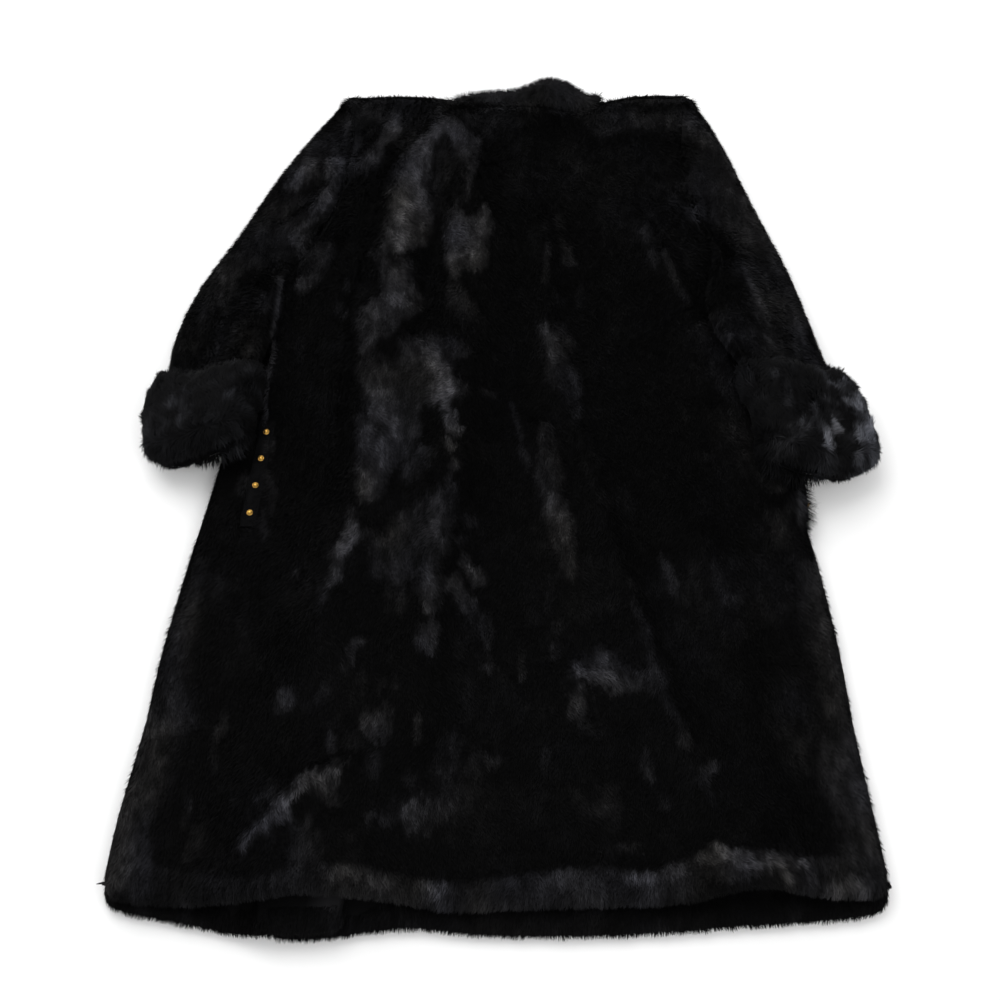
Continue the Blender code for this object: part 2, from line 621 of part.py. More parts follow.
def sleeve_rings(side, swell):
    """Rings along a sleeve, swell outside the middle of its wall."""
    folds = LEFT_SLEEVE_FOLDS if side == "left" else RIGHT_SLEEVE_FOLDS
    half = (SLEEVE_SLIT + WALL) / 2
    rings = []
    for along in SLEEVE_STATIONS:
        ring = []
        for spot, level, rest, radius in sleeve_ring(side, along, swell, half):
            z = sleeve_floor(side, spot.x, spot.y) + rest + SLEEVE_HEIGHT / 2 + level * radius
            z += max(level, 0.0) * fold_height(folds, spot.x, spot.y, SLEEVE_FOLD_FADE)
            ring.append((spot.x, spot.y, z, 1.0))
        rings.append(ring)
    return rings


def build_sleeve(side):
    """Build one sleeve: a flattened tube from the armhole to its end inside the cuff."""
    outside = sleeve_rings(side, WALL / 2)
    inside = sleeve_rings(side, -WALL / 2)
    ring_tube("sleeve_" + side, [*outside, *reversed(inside), outside[0]], FUR)


def build_cuff(side):
    """Build one cuff: a full, turned-back fur band round the sleeve's end."""
    half = (SLEEVE_SLIT + WALL) / 2
    swell = WALL / 2 + CUFF_CLEAR
    rings = []
    for cuff_ring in CUFF_RINGS:
        ring = []
        for spot, level, rest, radius in sleeve_ring(side, cuff_ring.station, swell, half):
            z = sleeve_floor(side, spot.x, spot.y) + rest + SLEEVE_HEIGHT / 2 + level * radius
            full = CUFF_TOP if level > 0 else CUFF_UNDER
            full = CUFF_SIDE + (full - CUFF_SIDE) * abs(level)
            ring.append((spot.x, spot.y, z, cuff_ring.fullness * full / CUFF_TOP))
        rings.append(ring)
    cuff = ring_tube("cuff_" + side, rings, CUFF_FUR)
    face_tube_outward(cuff)
    thicken(cuff, CUFF_TOP, 1.0, grouped=True)


def build_collar():
    """Build the collar: a soft roll of fur along the neck, fullest off its middle."""
    curve = bpy.data.curves.new("collar_line", "CURVE")
    curve.dimensions = "3D"
    curve.bevel_depth = 1.0
    curve.bevel_resolution = COLLAR_SIDES
    curve.use_fill_caps = True
    line = curve.splines.new("POLY")
    line.points.add(len(COLLAR_RINGS) - 1)
    for point, ring in zip(line.points, COLLAR_RINGS):
        point.co = (ring.x, ring.y, ring.z, 1.0)
        point.radius = ring.radius
    roll = bpy.data.objects.new("collar_line", curve)
    coat_collection.objects.link(roll)
    evaluated = roll.evaluated_get(bpy.context.evaluated_depsgraph_get())
    mesh_builder = bmesh.new()
    mesh_builder.from_mesh(bpy.data.meshes.new_from_object(evaluated))
    bmesh.ops.remove_doubles(mesh_builder, verts=mesh_builder.verts[:], dist=0.00005)
    bmesh.ops.recalc_face_normals(mesh_builder, faces=mesh_builder.faces[:])
    bpy.data.objects.remove(roll)
    finish_object("collar", mesh_builder, FUR)


def left_welt_middle(along):
    """Middle of the left pocket's welt, from its top at 0 to its foot at 1."""
    pocket = LEFT_POCKET
    return Vector((pocket.top_x + (pocket.low_x - pocket.top_x) * along,
                   pocket.top_y + (pocket.low_y - pocket.top_y) * along))


def left_welt_spot(column, row):
    """Place one point of the left welt, which lies on the back just inside the side fold."""
    columns, rows = WELT_CELLS
    middle = left_welt_middle(row / rows)
    x = middle.x + WELT_WIDTH * (column / columns - 0.5)
    underside = back_top(x, middle.y) + GAP
    return x, middle.y, underside, underside + WELT_WALL


def back_top(x, y):
    """Upper side of the back away from its edges."""
    calm = ease(min(x - side_x("left", y), side_x("right", y) - x) / SIDE_FADE)
    return BODY_TOP + back_lap_lift(x, y) + fold_height(BACK_FOLDS, x, y, FOLD_FADE) * calm


def right_welt_y(along):
    """Height on the coat of a place along the right pocket's welt."""
    return RIGHT_POCKET_TOP_Y + (RIGHT_POCKET_LOW_Y - RIGHT_POCKET_TOP_Y) * along


def build_right_welt():
    """Build the right welt, which stands on edge in the side seam."""
    columns, rows = WELT_CELLS
    mesh_builder = bmesh.new()
    bmesh.ops.create_grid(mesh_builder, x_segments=columns, y_segments=rows, size=0.5)
    for vert in mesh_builder.verts:
        y = right_welt_y(0.5 - vert.co.y)
        z = RIGHT_WELT_LOW_Z + WELT_WIDTH * (vert.co.x + 0.5)
        vert.co = (side_x("right", y) + RIGHT_WELT_STAND, y, z)
    mesh_builder.faces.ensure_lookup_table()
    mesh_builder.normal_update()
    if mesh_builder.faces[0].normal.x < 0.0:
        bmesh.ops.reverse_faces(mesh_builder, faces=mesh_builder.faces[:])
    welt = finish_object("pocket_welt_right", mesh_builder, WELT_CLOTH)
    thicken(welt, WELT_WALL, 1.0)


def build_stud(name, foot, outward):
    """Build a domed metal stud with its flat foot at a point, facing outward."""
    mesh_builder = bmesh.new()
    bmesh.ops.create_uvsphere(mesh_builder, u_segments=10, v_segments=6, radius=STUD_RADIUS)
    everything = mesh_builder.verts[:] + mesh_builder.edges[:] + mesh_builder.faces[:]
    cut = bmesh.ops.bisect_plane(mesh_builder, geom=everything, plane_co=(0.0, 0.0, 0.0),
                                 plane_no=(0.0, 0.0, -1.0), clear_outer=True)
    rim = [part for part in cut["geom_cut"] if isinstance(part, bmesh.types.BMEdge)]
    bmesh.ops.contextual_create(mesh_builder, geom=rim)
    bmesh.ops.scale(mesh_builder, vec=(1.0, 1.0, STUD_HEIGHT / STUD_RADIUS),
                    verts=mesh_builder.verts[:])
    bmesh.ops.recalc_face_normals(mesh_builder, faces=mesh_builder.faces[:])
    stud = finish_object(name, mesh_builder, GOLD)
    stud.location = foot
    stud.rotation_mode = "QUATERNION"
    stud.rotation_quaternion = Vector(outward).to_track_quat("Z", "Y")


def build_studs():
    """Build the studs of both pockets, evenly spaced along each welt."""
    spread = LAST_STUD_ALONG - FIRST_STUD_ALONG
    for number in range(STUDS_PER_POCKET):
        along = FIRST_STUD_ALONG + spread * number / (STUDS_PER_POCKET - 1)
        middle = left_welt_middle(along)
        foot_z = back_top(middle.x, middle.y) + WELT_WALL + 2 * GAP
        build_stud(f"stud_left_{number + 1}", (middle.x, middle.y, foot_z), (0.0, 0.0, 1.0))
        y = right_welt_y(along)
        slant = (side_x("right", y + WELT_WIDTH) - side_x("right", y - WELT_WIDTH)) / WELT_WIDTH
        foot_x = side_x("right", y) + RIGHT_WELT_STAND + WELT_WALL + 2 * GAP
        foot_z = RIGHT_WELT_LOW_Z + WELT_WIDTH / 2
        build_stud(f"stud_right_{number + 1}", (foot_x, y, foot_z), (1.0, -slant / 2, 0.0))


def build_coat():
    """Build every piece of the coat, from the surface up."""
    for side in SIDES:
        close_wall("front_" + side, FRONT_CELLS[side],
                   lambda column, row: front_spot(side, column, row), FUR)
        close_wall("lining_front_" + side, LINING_CELLS,
                   lambda column, row: lining_spot(side, column, row), SATIN)
    close_wall("back", BACK_CELLS, back_spot, FUR)
    for side in SIDES:
        build_sleeve(side)
        build_cuff(side)
    build_collar()
    close_wall("pocket_welt_left", WELT_CELLS, left_welt_spot, WELT_CLOTH)
    build_right_welt()
    build_studs()


for old_object in list(bpy.data.objects):
    bpy.data.objects.remove(old_object)
coat_collection = bpy.data.collections.new("fur_coat")
bpy.context.scene.collection.children.link(coat_collection)
build_coat()
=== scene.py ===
"""A long plush fur coat laid flat on a pale floor, back up, dressed with real pile.

Each panel of the coat gets a skin, which is its solid moved in by the depth of the pile, and on it
a pile of small blades that follow the nap. Lengths are metres. +X points right as the back is seen,
+Y from the hem to the neck and +Z up. "Left" is the left of the person who would wear it.

Where highlights and shade are painted into the pile's colour is held in tables of named marks,
which also turn its nap. Most were read in a photograph of 1000 by 1000 pixels, and its camera's
rays put them on the coat.
"""

import logging
import math
from collections.abc import Iterable, Sequence
from dataclasses import dataclass, field
from enum import Enum
from typing import NamedTuple

import bmesh
import bpy
import numpy as np
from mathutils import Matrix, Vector
from mathutils.bvhtree import BVHTree


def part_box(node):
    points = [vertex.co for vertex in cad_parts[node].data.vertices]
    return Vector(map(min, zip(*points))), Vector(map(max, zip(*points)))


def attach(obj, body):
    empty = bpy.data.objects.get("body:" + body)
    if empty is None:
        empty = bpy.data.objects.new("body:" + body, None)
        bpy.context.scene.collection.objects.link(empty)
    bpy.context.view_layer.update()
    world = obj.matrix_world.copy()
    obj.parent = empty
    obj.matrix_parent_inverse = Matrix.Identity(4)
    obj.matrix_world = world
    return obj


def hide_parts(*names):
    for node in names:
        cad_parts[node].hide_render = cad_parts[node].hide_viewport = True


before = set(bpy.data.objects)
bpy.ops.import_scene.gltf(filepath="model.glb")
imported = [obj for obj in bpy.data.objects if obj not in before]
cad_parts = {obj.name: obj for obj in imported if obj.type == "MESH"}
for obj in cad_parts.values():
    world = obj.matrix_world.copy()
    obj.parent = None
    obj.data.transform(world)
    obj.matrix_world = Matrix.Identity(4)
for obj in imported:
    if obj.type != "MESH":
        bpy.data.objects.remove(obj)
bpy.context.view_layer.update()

LOG = logging.getLogger("fur_coat")
ROOT_BODY = "root"
# The pile's green channel carries its painted highlights and shade as well as its random tone.
PILE_ATTRIBUTE = "pile"       # red: root to tip, green: how light the pile is, blue: the strand
# The shine attribute marks where a highlight is painted on smooth cloth.
SHINE_ATTRIBUTE = "shine"     # where smooth cloth catches light
SEAM_TOUCH = 0.010            # a point this near to the next piece belongs to the seam
SEAM_REACH = 0.022            # and from this far away it is free
SEAM_FACING = 0.35            # how far sideways a seam's rim faces
SEAM_GAP = 0.005              # the widest gap that a seam's rim closes
SEAM_LEAN = 1.6               # how strongly the pile at a seam leans across it
SEAM_GROWTH = 0.35            # how much longer the pile is there
WELT_COVER = 0.018            # how far round the right pocket's welt the pile is longer
STRIP_BED = 0.012             # how far round the pocket's strip the skin comes up to it
STRIP_GROWTH = 0.50           # how much longer the pile is beside the strip
STRIP_LEAN = 0.80             # how strongly it leans over the strip's edges
HEM_CORNERS = (-0.425, 0.408) # beyond these the pile of the hem's corners is short
RAY_START = 0.0006            # a ray starts this far off the cloth that it looks away from
THICKEST_WALL = 0.050         # a wall is not measured past this
WALL_SHARE = 0.55             # the skin is drawn in by at most this share of the wall


# ------------------------------------------------------------------ tables
class Side(Enum):
    """The two sides of the coat, as worn."""

    LEFT = "left"
    RIGHT = "right"


class Stroke(NamedTuple):
    """A line on the cloth where a highlight or shade is painted into the pile, and how high the cloth stands
    there.

    Its height, its reach to the left and right of its path and the path are in millimetres.
    """

    name: str
    tone: float
    height: float
    left: float
    right: float
    path: tuple[tuple[float, float], ...]


class Patch(NamedTuple):
    """An oval mark of painted highlight or shade, in millimetres and turned in degrees."""

    name: str
    tone: float
    x: float
    y: float
    half_width: float
    half_length: float
    turn: float = 0.0


class Field(NamedTuple):
    """A place with a free outline where a highlight or shade is painted into the pile, in millimetres.

    The light fades over the width ``soft``, whose middle is the outline.
    """

    name: str
    tone: float
    soft: float
    outline: tuple[tuple[float, float], ...]


MM = 0.001
CAMERA_PLACE = (-0.0115, -0.8199, 1.7371)
CAMERA_TARGET = (-0.0115, -0.0465, 0.0)
FOCAL_PIXELS = 1600.0          # the focal length in pixels of the photograph
PICTURE_MIDDLE = 500.0
THIN_STROKE = 7.5              # a stroke with less reach than this is a thin line
THIN_SHARE = 0.35              # how ragged a thin line is, against a broad one
PATCH_REACH = 1.4              # how far a patch fades out, in its half widths
STROKE_PLATEAU = 1.5           # how flat a stroke's light is across it
# How much highlight is painted into the pile where a mark lies, as a share of its lightest colour.
# The negative ones are painted shade: how much of the light a hollow takes away.
TRACE, HAZE, FAINT, SOFT, CLEAR, BRIGHT, GLARE = 0.022, 0.046, 0.075, 0.120, 0.190, 0.320, 0.500
DULL, DIM, DARK = -0.35, -0.60, -0.85
LOW_GLEAM, HALF_GLEAM, GLEAM = 0.060, 0.220, 0.520     # the same for the cuffs


@dataclass(frozen=True)
class PhotoView:
    """Puts marks that were read in the photograph, in its pixels, on cloth of one height."""

    height: float
    across: float = 1.19       # millimetres on the coat for each pixel of a patch's width
    along: float = 1.30        # and of its length
    fade: float = 1.6          # and of a field's soft edge

    def spots(self, pixels: Sequence[float]) -> tuple[tuple[int, int], ...]:
        """Follow the camera's rays through pixels down to the cloth.

        Args:
            pixels: Columns and rows in turn.

        Returns:
            Pairs of x and y in whole millimetres.
        """
        place, target = np.array(CAMERA_PLACE), np.array(CAMERA_TARGET)
        ahead = (target - place) / np.linalg.norm(target - place)
        right = np.array((1.0, 0.0, 0.0))
        up = np.cross(right, ahead)
        found = []
        for column, row in zip(pixels[::2], pixels[1::2]):
            ray = (ahead + right * (column - PICTURE_MIDDLE) / FOCAL_PIXELS
                   - up * (row - PICTURE_MIDDLE) / FOCAL_PIXELS)
            spot = place + ray * (self.height - place[2]) / ray[2]
            found.append((round(spot[0] / MM), round(spot[1] / MM)))
        return tuple(found)

    def fields(self, rows: Iterable[tuple]) -> tuple[Field, ...]:
        """Make fields from rows of a name, a tone, a soft edge, and columns and rows in turn."""
        return tuple(Field(name, tone, round(self.fade * soft), self.spots(pixels))
                     for name, tone, soft, *pixels in rows)

    def lines(self, rows: Iterable[tuple]) -> tuple[Stroke, ...]:
        """Make flat strokes from rows of a name, a tone, a reach, and columns and rows in turn."""
        return tuple(Stroke(name, tone, 0.0, reach, reach, self.spots(pixels))
                     for name, tone, reach, *pixels in rows)

    def patches(self, rows: Iterable[tuple]) -> tuple[Patch, ...]:
        """Make patches from rows of a name, a tone, a column, a row, two half sizes and a turn."""
        return tuple(Patch(name, tone, *self.spots((column, row))[0], round(self.across * width),
                           round(self.along * length), *turn)
                     for name, tone, column, row, width, length, *turn in rows)


BODY, RAISED = PhotoView(0.036), PhotoView(0.045)      # the body, and the sleeves and the hem

COAT_CREASES = (
    Stroke("pleat_top", 0, 4, 16, 22, ((-56, 485), (-102, 445), (-134, 405), (-142, 350), (-146, 300),
           (-158, 270))),
    Stroke("pleat_body", 0, 3, 20, 26, ((-130, 250), (-140, 190), (-146, 120), (-152, 40), (-160, -60))),
    Stroke("pleat_lobe", 0, 3, 9, 10, ((-57, 482), (-52, 400), (-68, 330), (-68, 260), (-60, 210))),
    Stroke("pleat_cross", 0, 3, 10, 12, ((-131, 151), (-96, 123), (-75, 96), (-65, 70))),
    Stroke("pleat_foot", 0, 2, 12, 12, ((-78, -40), (-88, -100), (-92, -180), (-94, -240))),
    Stroke("pleat_hollow", 0, -4, 12, 12, ((-88, 430), (-90, 350), (-92, 280), (-100, 200))),
    Stroke("pleat_trough", 0, -4, 16, 10, ((-168, 420), (-174, 330), (-200, 200), (-204, 60), (-204, -50))),
    Stroke("shoulder_fold", 0, 3, 9, 9, ((-143, 519), (-161, 463), (-192, 424), (-223, 393), (-265, 336))),
    Stroke("cap_trough", 0, -4, 7, 9, ((-236, 395), (-258, 360), (-290, 340))),
    Stroke("left_sleeve_edge", 0, 2, 6, 6, ((-283, 243), (-282, 207), (-287, 151), (-296, 96), (-300, 60))),
    Stroke("centre_line", 0, 3, 9, 9, ((37, 36), (47, -14), (53, -63), (69, -123), (68, -148))),
    Stroke("spine_line", 0, 2, 9, 9, ((40, 330), (48, 229), (52, 140), (60, 70))),
    Stroke("flare_line", 0, 3, 8, 8, ((88, 28), (105, -63), (131, -156), (151, -234), (178, -300),
           (191, -349))),
    Stroke("flare_right", 0, 2, 10, 10, ((176, -133), (194, -177), (206, -230))),
    Stroke("right_sleeve_fold", 0, 3, 6, 6, ((173, 268), (198, 280), (212, 243), (225, 207), (268, 134),
           (289, 58))),
    Stroke("right_sleeve_outer", 0, 3, 7, 7, ((285, 262), (299, 210), (318, 165))),
    Stroke("right_wide", 0, 3, 12, 12, ((80, -270), (110, -268), (160, -292))),
    Stroke("loop", 0, 2, 8, 8, ((72, -298), (78, -318), (101, -345))),
    Stroke("ridge", 0, 5, 6, 9, ((-170, -372), (-198, -386), (-227, -400), (-252, -431), (-284, -466))),
    Stroke("ridge_trough", 0, -3, 10, 8, ((-184, -412), (-222, -430), (-240, -462))),
    Stroke("low_blob", 0, 2, 12, 12, ((-120, -428), (-70, -420), (-50, -395))),
    Stroke("centre_seam", 0, -1.5, 5, 5, ((44, -150), (44, -302), (44, -489))),
    Stroke("piece_seam_across", 0, -1.5, 5, 5, ((-393, -328), (-295, -326))),
    Stroke("piece_seam_down", 0, -1.5, 5, 5, ((-330, -326), (-338, -389), (-347, -434))),
)
# The marks in the tables below are painted light: highlights and sheen where the tone is positive, shade in
# hollows where it is negative.
# Rows of a name, a tone, a soft edge in pixels, and the outline's columns and rows in turn.
COAT_FIELDS = BODY.fields((
    ("shoulder_left", FAINT, 12, 325, 135, 335, 118, 348, 105, 365, 100, 385, 98, 400, 100, 410, 103,
     408, 118, 402, 135, 392, 142, 380, 150, 355, 150, 340, 142),
    ("shoulder_left_hollow", DIM, 10, 345, 130, 355, 122, 368, 115, 376, 118, 372, 130, 362, 138, 352, 143),
    ("shoulder_left_band", CLEAR, 7, 393, 100, 404, 102, 403, 115, 401, 130, 393, 138, 385, 148, 378, 160,
     372, 165, 372, 152, 380, 140, 386, 128, 388, 112),
    ("shoulder_left_bright", BRIGHT, 5, 390, 116, 400, 116, 400, 129, 390, 132, 386, 128),
    ("neck_left", FAINT, 10, 408, 103, 430, 100, 460, 98, 478, 100, 470, 115, 455, 120, 440, 118, 428, 128,
     418, 140, 405, 150, 398, 145, 405, 128),
    ("neck_back", HAZE, 12, 480, 100, 515, 99, 545, 99, 545, 116, 520, 130, 500, 128, 488, 145, 482, 130),
    ("pleat_top", CLEAR, 7, 440, 118, 455, 122, 465, 130, 478, 140, 480, 150, 478, 165, 472, 178, 466, 172,
     462, 158, 450, 148, 440, 145, 434, 152, 431, 165, 432, 178, 428, 190, 430, 210, 428, 235, 424, 248,
     410, 258, 400, 262, 385, 262, 376, 262, 370, 255, 378, 248, 385, 232, 388, 205, 390, 188, 396, 170,
     405, 158, 418, 145, 430, 130),
    ("pleat_top_bright", BRIGHT, 6, 452, 122, 458, 132, 445, 140, 430, 148, 424, 165, 424, 190, 424, 212,
     412, 220, 420, 235, 410, 252, 395, 255, 385, 252, 390, 238, 393, 215, 394, 190, 400, 170, 410, 158,
     422, 142, 438, 130),
    ("pleat_glare", GLARE, 5, 392, 221, 402, 219, 413, 231, 418, 241, 408, 242, 399, 235),
    ("pleat_glare_low", GLARE, 5, 390, 240, 400, 246, 409, 253, 400, 257, 387, 252),
    ("pleat_right_branch", SOFT, 7, 462, 133, 475, 143, 477, 160, 474, 178, 470, 198, 466, 203, 467, 185,
     462, 168, 458, 152),
    ("pleat_hollow", HAZE, 10, 435, 150, 460, 150, 466, 175, 466, 205, 455, 215, 445, 215, 435, 225,
     430, 200, 432, 170),
    ("pleat_hollow_deep", DULL, 8, 450, 178, 462, 178, 460, 200, 445, 205, 440, 195),
    ("pleat_right_lobe", CLEAR, 7, 447, 212, 460, 210, 468, 222, 478, 222, 482, 212, 490, 214, 491, 230,
     486, 245, 486, 262, 483, 278, 474, 275, 466, 272, 458, 285, 452, 282, 447, 265, 445, 245, 444, 225),
    ("pleat_right_bright", BRIGHT, 5, 448, 222, 456, 220, 464, 235, 472, 240, 480, 225, 486, 220, 484, 240,
     478, 262, 470, 262, 460, 265, 455, 278, 450, 270, 450, 250),
    ("pleat_right_tail", FAINT, 7, 448, 280, 458, 284, 466, 300, 476, 310, 470, 325, 460, 330, 452, 315,
     447, 300),
    ("pleat_middle", SOFT, 8, 375, 262, 395, 262, 412, 268, 408, 280, 418, 300, 420, 312, 410, 322, 400, 330,
     390, 340, 378, 350, 372, 365, 366, 368, 362, 350, 360, 330, 360, 315, 370, 308, 382, 300, 380, 285,
     378, 270),
    ("pleat_middle_bright", BRIGHT, 6, 386, 279, 402, 281, 401, 295, 415, 303, 403, 315, 390, 312, 388, 300),
    ("pleat_middle_left", BRIGHT, 6, 363, 315, 380, 318, 388, 328, 378, 330, 366, 322),
    ("pleat_notch", DIM, 6, 392, 257, 404, 262, 403, 272, 394, 272, 390, 264),
    ("pleat_lower", SOFT, 9, 362, 370, 375, 360, 390, 370, 400, 362, 400, 345, 415, 338, 440, 336, 455, 340,
     465, 352, 470, 358, 462, 364, 450, 360, 449, 375, 455, 385, 470, 390, 464, 400, 456, 405, 440, 408,
     425, 408, 420, 420, 419, 432, 412, 445, 405, 460, 395, 468, 384, 478, 381, 495, 378, 502, 360, 506,
     356, 495, 357, 475, 360, 460, 356, 440, 358, 428, 366, 415, 366, 395),
    ("pleat_lower_left", CLEAR, 7, 370, 385, 380, 390, 388, 400, 402, 420, 400, 435, 388, 445, 395, 458,
     383, 472, 378, 495, 362, 503, 358, 490, 362, 470, 358, 450, 358, 435, 380, 432, 368, 418, 366, 400),
    ("pleat_glow_upper", BRIGHT, 6, 370, 400, 378, 400, 388, 418, 393, 430, 385, 432, 375, 420, 366, 419),
    ("pleat_glow_middle", BRIGHT, 6, 361, 440, 373, 441, 374, 456, 362, 459),
    ("pleat_glow_low", BRIGHT, 6, 363, 473, 373, 478, 368, 490, 365, 501, 358, 496),
    ("pleat_cross", BRIGHT, 6, 420, 350, 430, 345, 440, 350, 446, 362, 449, 378, 460, 390, 460, 400,
     448, 405, 425, 402, 423, 392, 432, 382, 424, 368, 418, 355),
    ("pleat_cross_bright", GLARE, 5, 435, 372, 442, 370, 442, 384, 459, 391, 459, 399, 451, 402, 451, 419,
     443, 415, 442, 402, 436, 399),
    ("pleat_cross_low", BRIGHT, 5, 444, 420, 455, 420, 462, 430, 456, 438, 448, 430),
    ("pleat_hole", DARK, 7, 422, 412, 438, 411, 439, 430, 434, 445, 425, 443, 422, 430),
    ("pleat_notch_middle", DIM, 6, 391, 338, 402, 340, 401, 350, 389, 363, 385, 371, 380, 366, 385, 353),
    ("pleat_low_right", FAINT, 8, 395, 470, 405, 458, 418, 450, 432, 450, 436, 455, 425, 468, 418, 482,
     405, 486, 398, 480),
    ("pleat_foot", FAINT, 9, 395, 522, 412, 515, 424, 505, 436, 496, 448, 486, 455, 490, 453, 510, 449, 530,
     448, 548, 440, 560, 438, 575, 442, 590, 436, 612, 430, 620, 424, 610, 418, 590, 412, 578, 400, 586,
     388, 582, 375, 582, 370, 575, 374, 562, 366, 548, 378, 540, 390, 540),
    ("pleat_foot_clear", CLEAR, 7, 427, 505, 440, 499, 446, 510, 438, 525, 440, 538, 446, 545, 440, 556,
     428, 553, 424, 535, 428, 520),
    ("pleat_foot_bright", BRIGHT, 6, 427, 514, 440, 512, 436, 530, 443, 545, 437, 553, 427, 541, 430, 526),
    ("pleat_foot_stem", CLEAR, 6, 422, 572, 436, 572, 436, 590, 434, 618, 426, 618, 424, 600, 420, 585),
    ("pleat_foot_end", SOFT, 6, 415, 625, 424, 632, 432, 622, 438, 630, 436, 648, 430, 658, 420, 650,
     416, 640),
    ("pleat_foot_left", SOFT, 7, 392, 523, 408, 520, 410, 540, 408, 550, 395, 558, 375, 555, 372, 545,
     388, 542),
    ("foot_prong_upper", SOFT, 6, 460, 550, 468, 558, 482, 572, 483, 582, 474, 588, 466, 578, 460, 562),
    ("foot_prong_lower", SOFT, 6, 446, 582, 458, 577, 464, 592, 475, 603, 480, 614, 470, 612, 455, 600,
     447, 594),
    ("tail_left", CLEAR, 6, 345, 532, 352, 522, 360, 535, 364, 542, 352, 550, 345, 562, 343, 578, 338, 590,
     328, 592, 325, 588, 330, 575, 328, 560, 332, 547, 343, 542),
    ("tail_left_bright", GLARE, 6, 348, 527, 357, 531, 359, 540, 350, 548, 345, 557, 338, 567, 333, 565,
     334, 550, 344, 546),
    ("rim_left", FAINT, 14, 195, 560, 205, 560, 198, 600, 192, 625, 183, 660, 186, 690, 188, 712, 200, 722,
     182, 735, 170, 760, 172, 780, 160, 800, 150, 812, 138, 830, 145, 860, 150, 890, 90, 890, 112, 835,
     132, 760, 148, 700, 158, 655, 175, 605),
    ("rim_left_clear", CLEAR, 10, 146, 710, 165, 717, 180, 722, 168, 733, 150, 740, 143, 755, 138, 775,
     130, 795, 140, 802, 128, 830, 132, 850, 130, 890, 95, 890, 106, 845, 118, 805, 132, 760),
    ("low_left_wide", SOFT, 8, 362, 720, 375, 712, 385, 705, 392, 712, 392, 730, 385, 742, 375, 748,
     366, 740, 360, 730),
    ("ridge", SOFT, 6, 298, 790, 310, 776, 322, 768, 340, 764, 348, 768, 338, 775, 334, 785, 328, 796,
     318, 798, 305, 795, 298, 800, 293, 808, 290, 825, 275, 828, 262, 838, 252, 850, 246, 855, 243, 848,
     250, 835, 262, 820, 275, 808, 285, 798),
    ("ridge_top", BRIGHT, 5, 298, 790, 310, 778, 322, 771, 337, 769, 331, 780, 322, 789, 315, 791, 305, 793),
    ("ridge_low", CLEAR, 5, 294, 796, 300, 790, 305, 795, 295, 801, 293, 815, 293, 827, 276, 826, 262, 836,
     252, 843, 260, 830, 272, 818, 278, 808, 285, 798),
    ("ridge_shade", FAINT, 8, 325, 790, 338, 795, 342, 807, 330, 807, 318, 800),
    ("low_blob", CLEAR, 7, 398, 812, 408, 805, 420, 799, 434, 801, 435, 812, 425, 822, 415, 828, 402, 825,
     396, 818),
    ("low_blob_skirt", FAINT, 10, 394, 808, 410, 798, 432, 798, 440, 790, 445, 780, 465, 780, 470, 790,
     465, 805, 450, 815, 440, 822, 425, 832, 405, 830, 392, 820),
    ("low_mid_haze", HAZE, 12, 430, 780, 436, 750, 445, 730, 455, 728, 462, 740, 455, 760, 450, 775,
     445, 790),
    ("left_foot", FAINT, 10, 293, 822, 305, 828, 315, 836, 321, 850, 322, 872, 292, 872, 290, 855, 293, 840),
    ("right_wide", CLEAR, 7, 572, 670, 580, 662, 592, 662, 600, 650, 608, 648, 612, 658, 618, 668, 626, 675,
     638, 680, 630, 684, 618, 688, 605, 686, 595, 680, 580, 680, 572, 678),
    ("right_wide_bright", BRIGHT, 6, 590, 665, 603, 664, 620, 672, 620, 678, 607, 681, 596, 675, 590, 672),
    ("right_wide_skirt", FAINT, 8, 570, 665, 590, 655, 600, 645, 612, 650, 620, 662, 635, 670, 645, 668,
     655, 662, 665, 668, 671, 680, 670, 692, 665, 700, 655, 694, 640, 694, 625, 690, 610, 690, 595, 683,
     575, 683, 570, 678),
    ("right_hook", SOFT, 6, 652, 668, 660, 666, 669, 679, 669, 690, 663, 693, 659, 680),
    ("loop", CLEAR, 6, 571, 695, 580, 687, 585, 700, 583, 712, 575, 717, 569, 708),
    ("loop_arm", FAINT, 6, 573, 715, 583, 709, 593, 721, 604, 731, 601, 737, 590, 731, 581, 723),
    ("foot_field", HAZE, 9, 570, 782, 578, 785, 588, 800, 600, 788, 610, 782, 618, 788, 620, 810, 616, 825,
     612, 828, 608, 815, 590, 818, 580, 812, 575, 800),
    ("rim_right", FAINT, 14, 797, 555, 800, 585, 805, 610, 812, 640, 818, 680, 825, 720, 822, 760, 825, 790,
     835, 800, 845, 830, 840, 858, 890, 868, 888, 840, 874, 800, 866, 765, 858, 720, 848, 680, 838, 640,
     829, 600, 822, 555),
    ("rim_right_clear", SOFT, 10, 808, 555, 814, 600, 824, 650, 834, 700, 844, 750, 852, 795, 862, 830,
     865, 860, 888, 862, 880, 815, 864, 755, 849, 685, 836, 630, 824, 555),
    ("right_hip_haze", TRACE, 25, 680, 605, 695, 570, 730, 553, 780, 550, 797, 590, 790, 632, 760, 618,
     740, 642, 712, 628, 690, 625),
    ("right_hip_field", HAZE, 9, 705, 575, 715, 562, 728, 560, 730, 575, 735, 590, 745, 595, 746, 610,
     738, 616, 728, 612, 720, 605, 714, 592),
    ("right_low_haze", TRACE, 25, 770, 680, 800, 670, 815, 700, 818, 760, 800, 770, 785, 740, 765, 720),
    ("spine_upper", FAINT, 6, 561, 231, 568, 237, 574, 254, 579, 264, 568, 264, 561, 250),
    ("spine_field", FAINT, 8, 540, 325, 546, 318, 555, 325, 565, 318, 570, 333, 580, 342, 570, 348, 563, 350,
     567, 363, 580, 372, 582, 392, 570, 403, 558, 386, 547, 381, 545, 360, 539, 345),
    ("spine_bright", CLEAR, 6, 541, 324, 550, 324, 559, 342, 564, 352, 557, 366, 549, 360, 543, 342),
    ("centre_line_skirt", FAINT, 7, 538, 420, 550, 421, 559, 445, 563, 475, 563, 495, 571, 515, 579, 540,
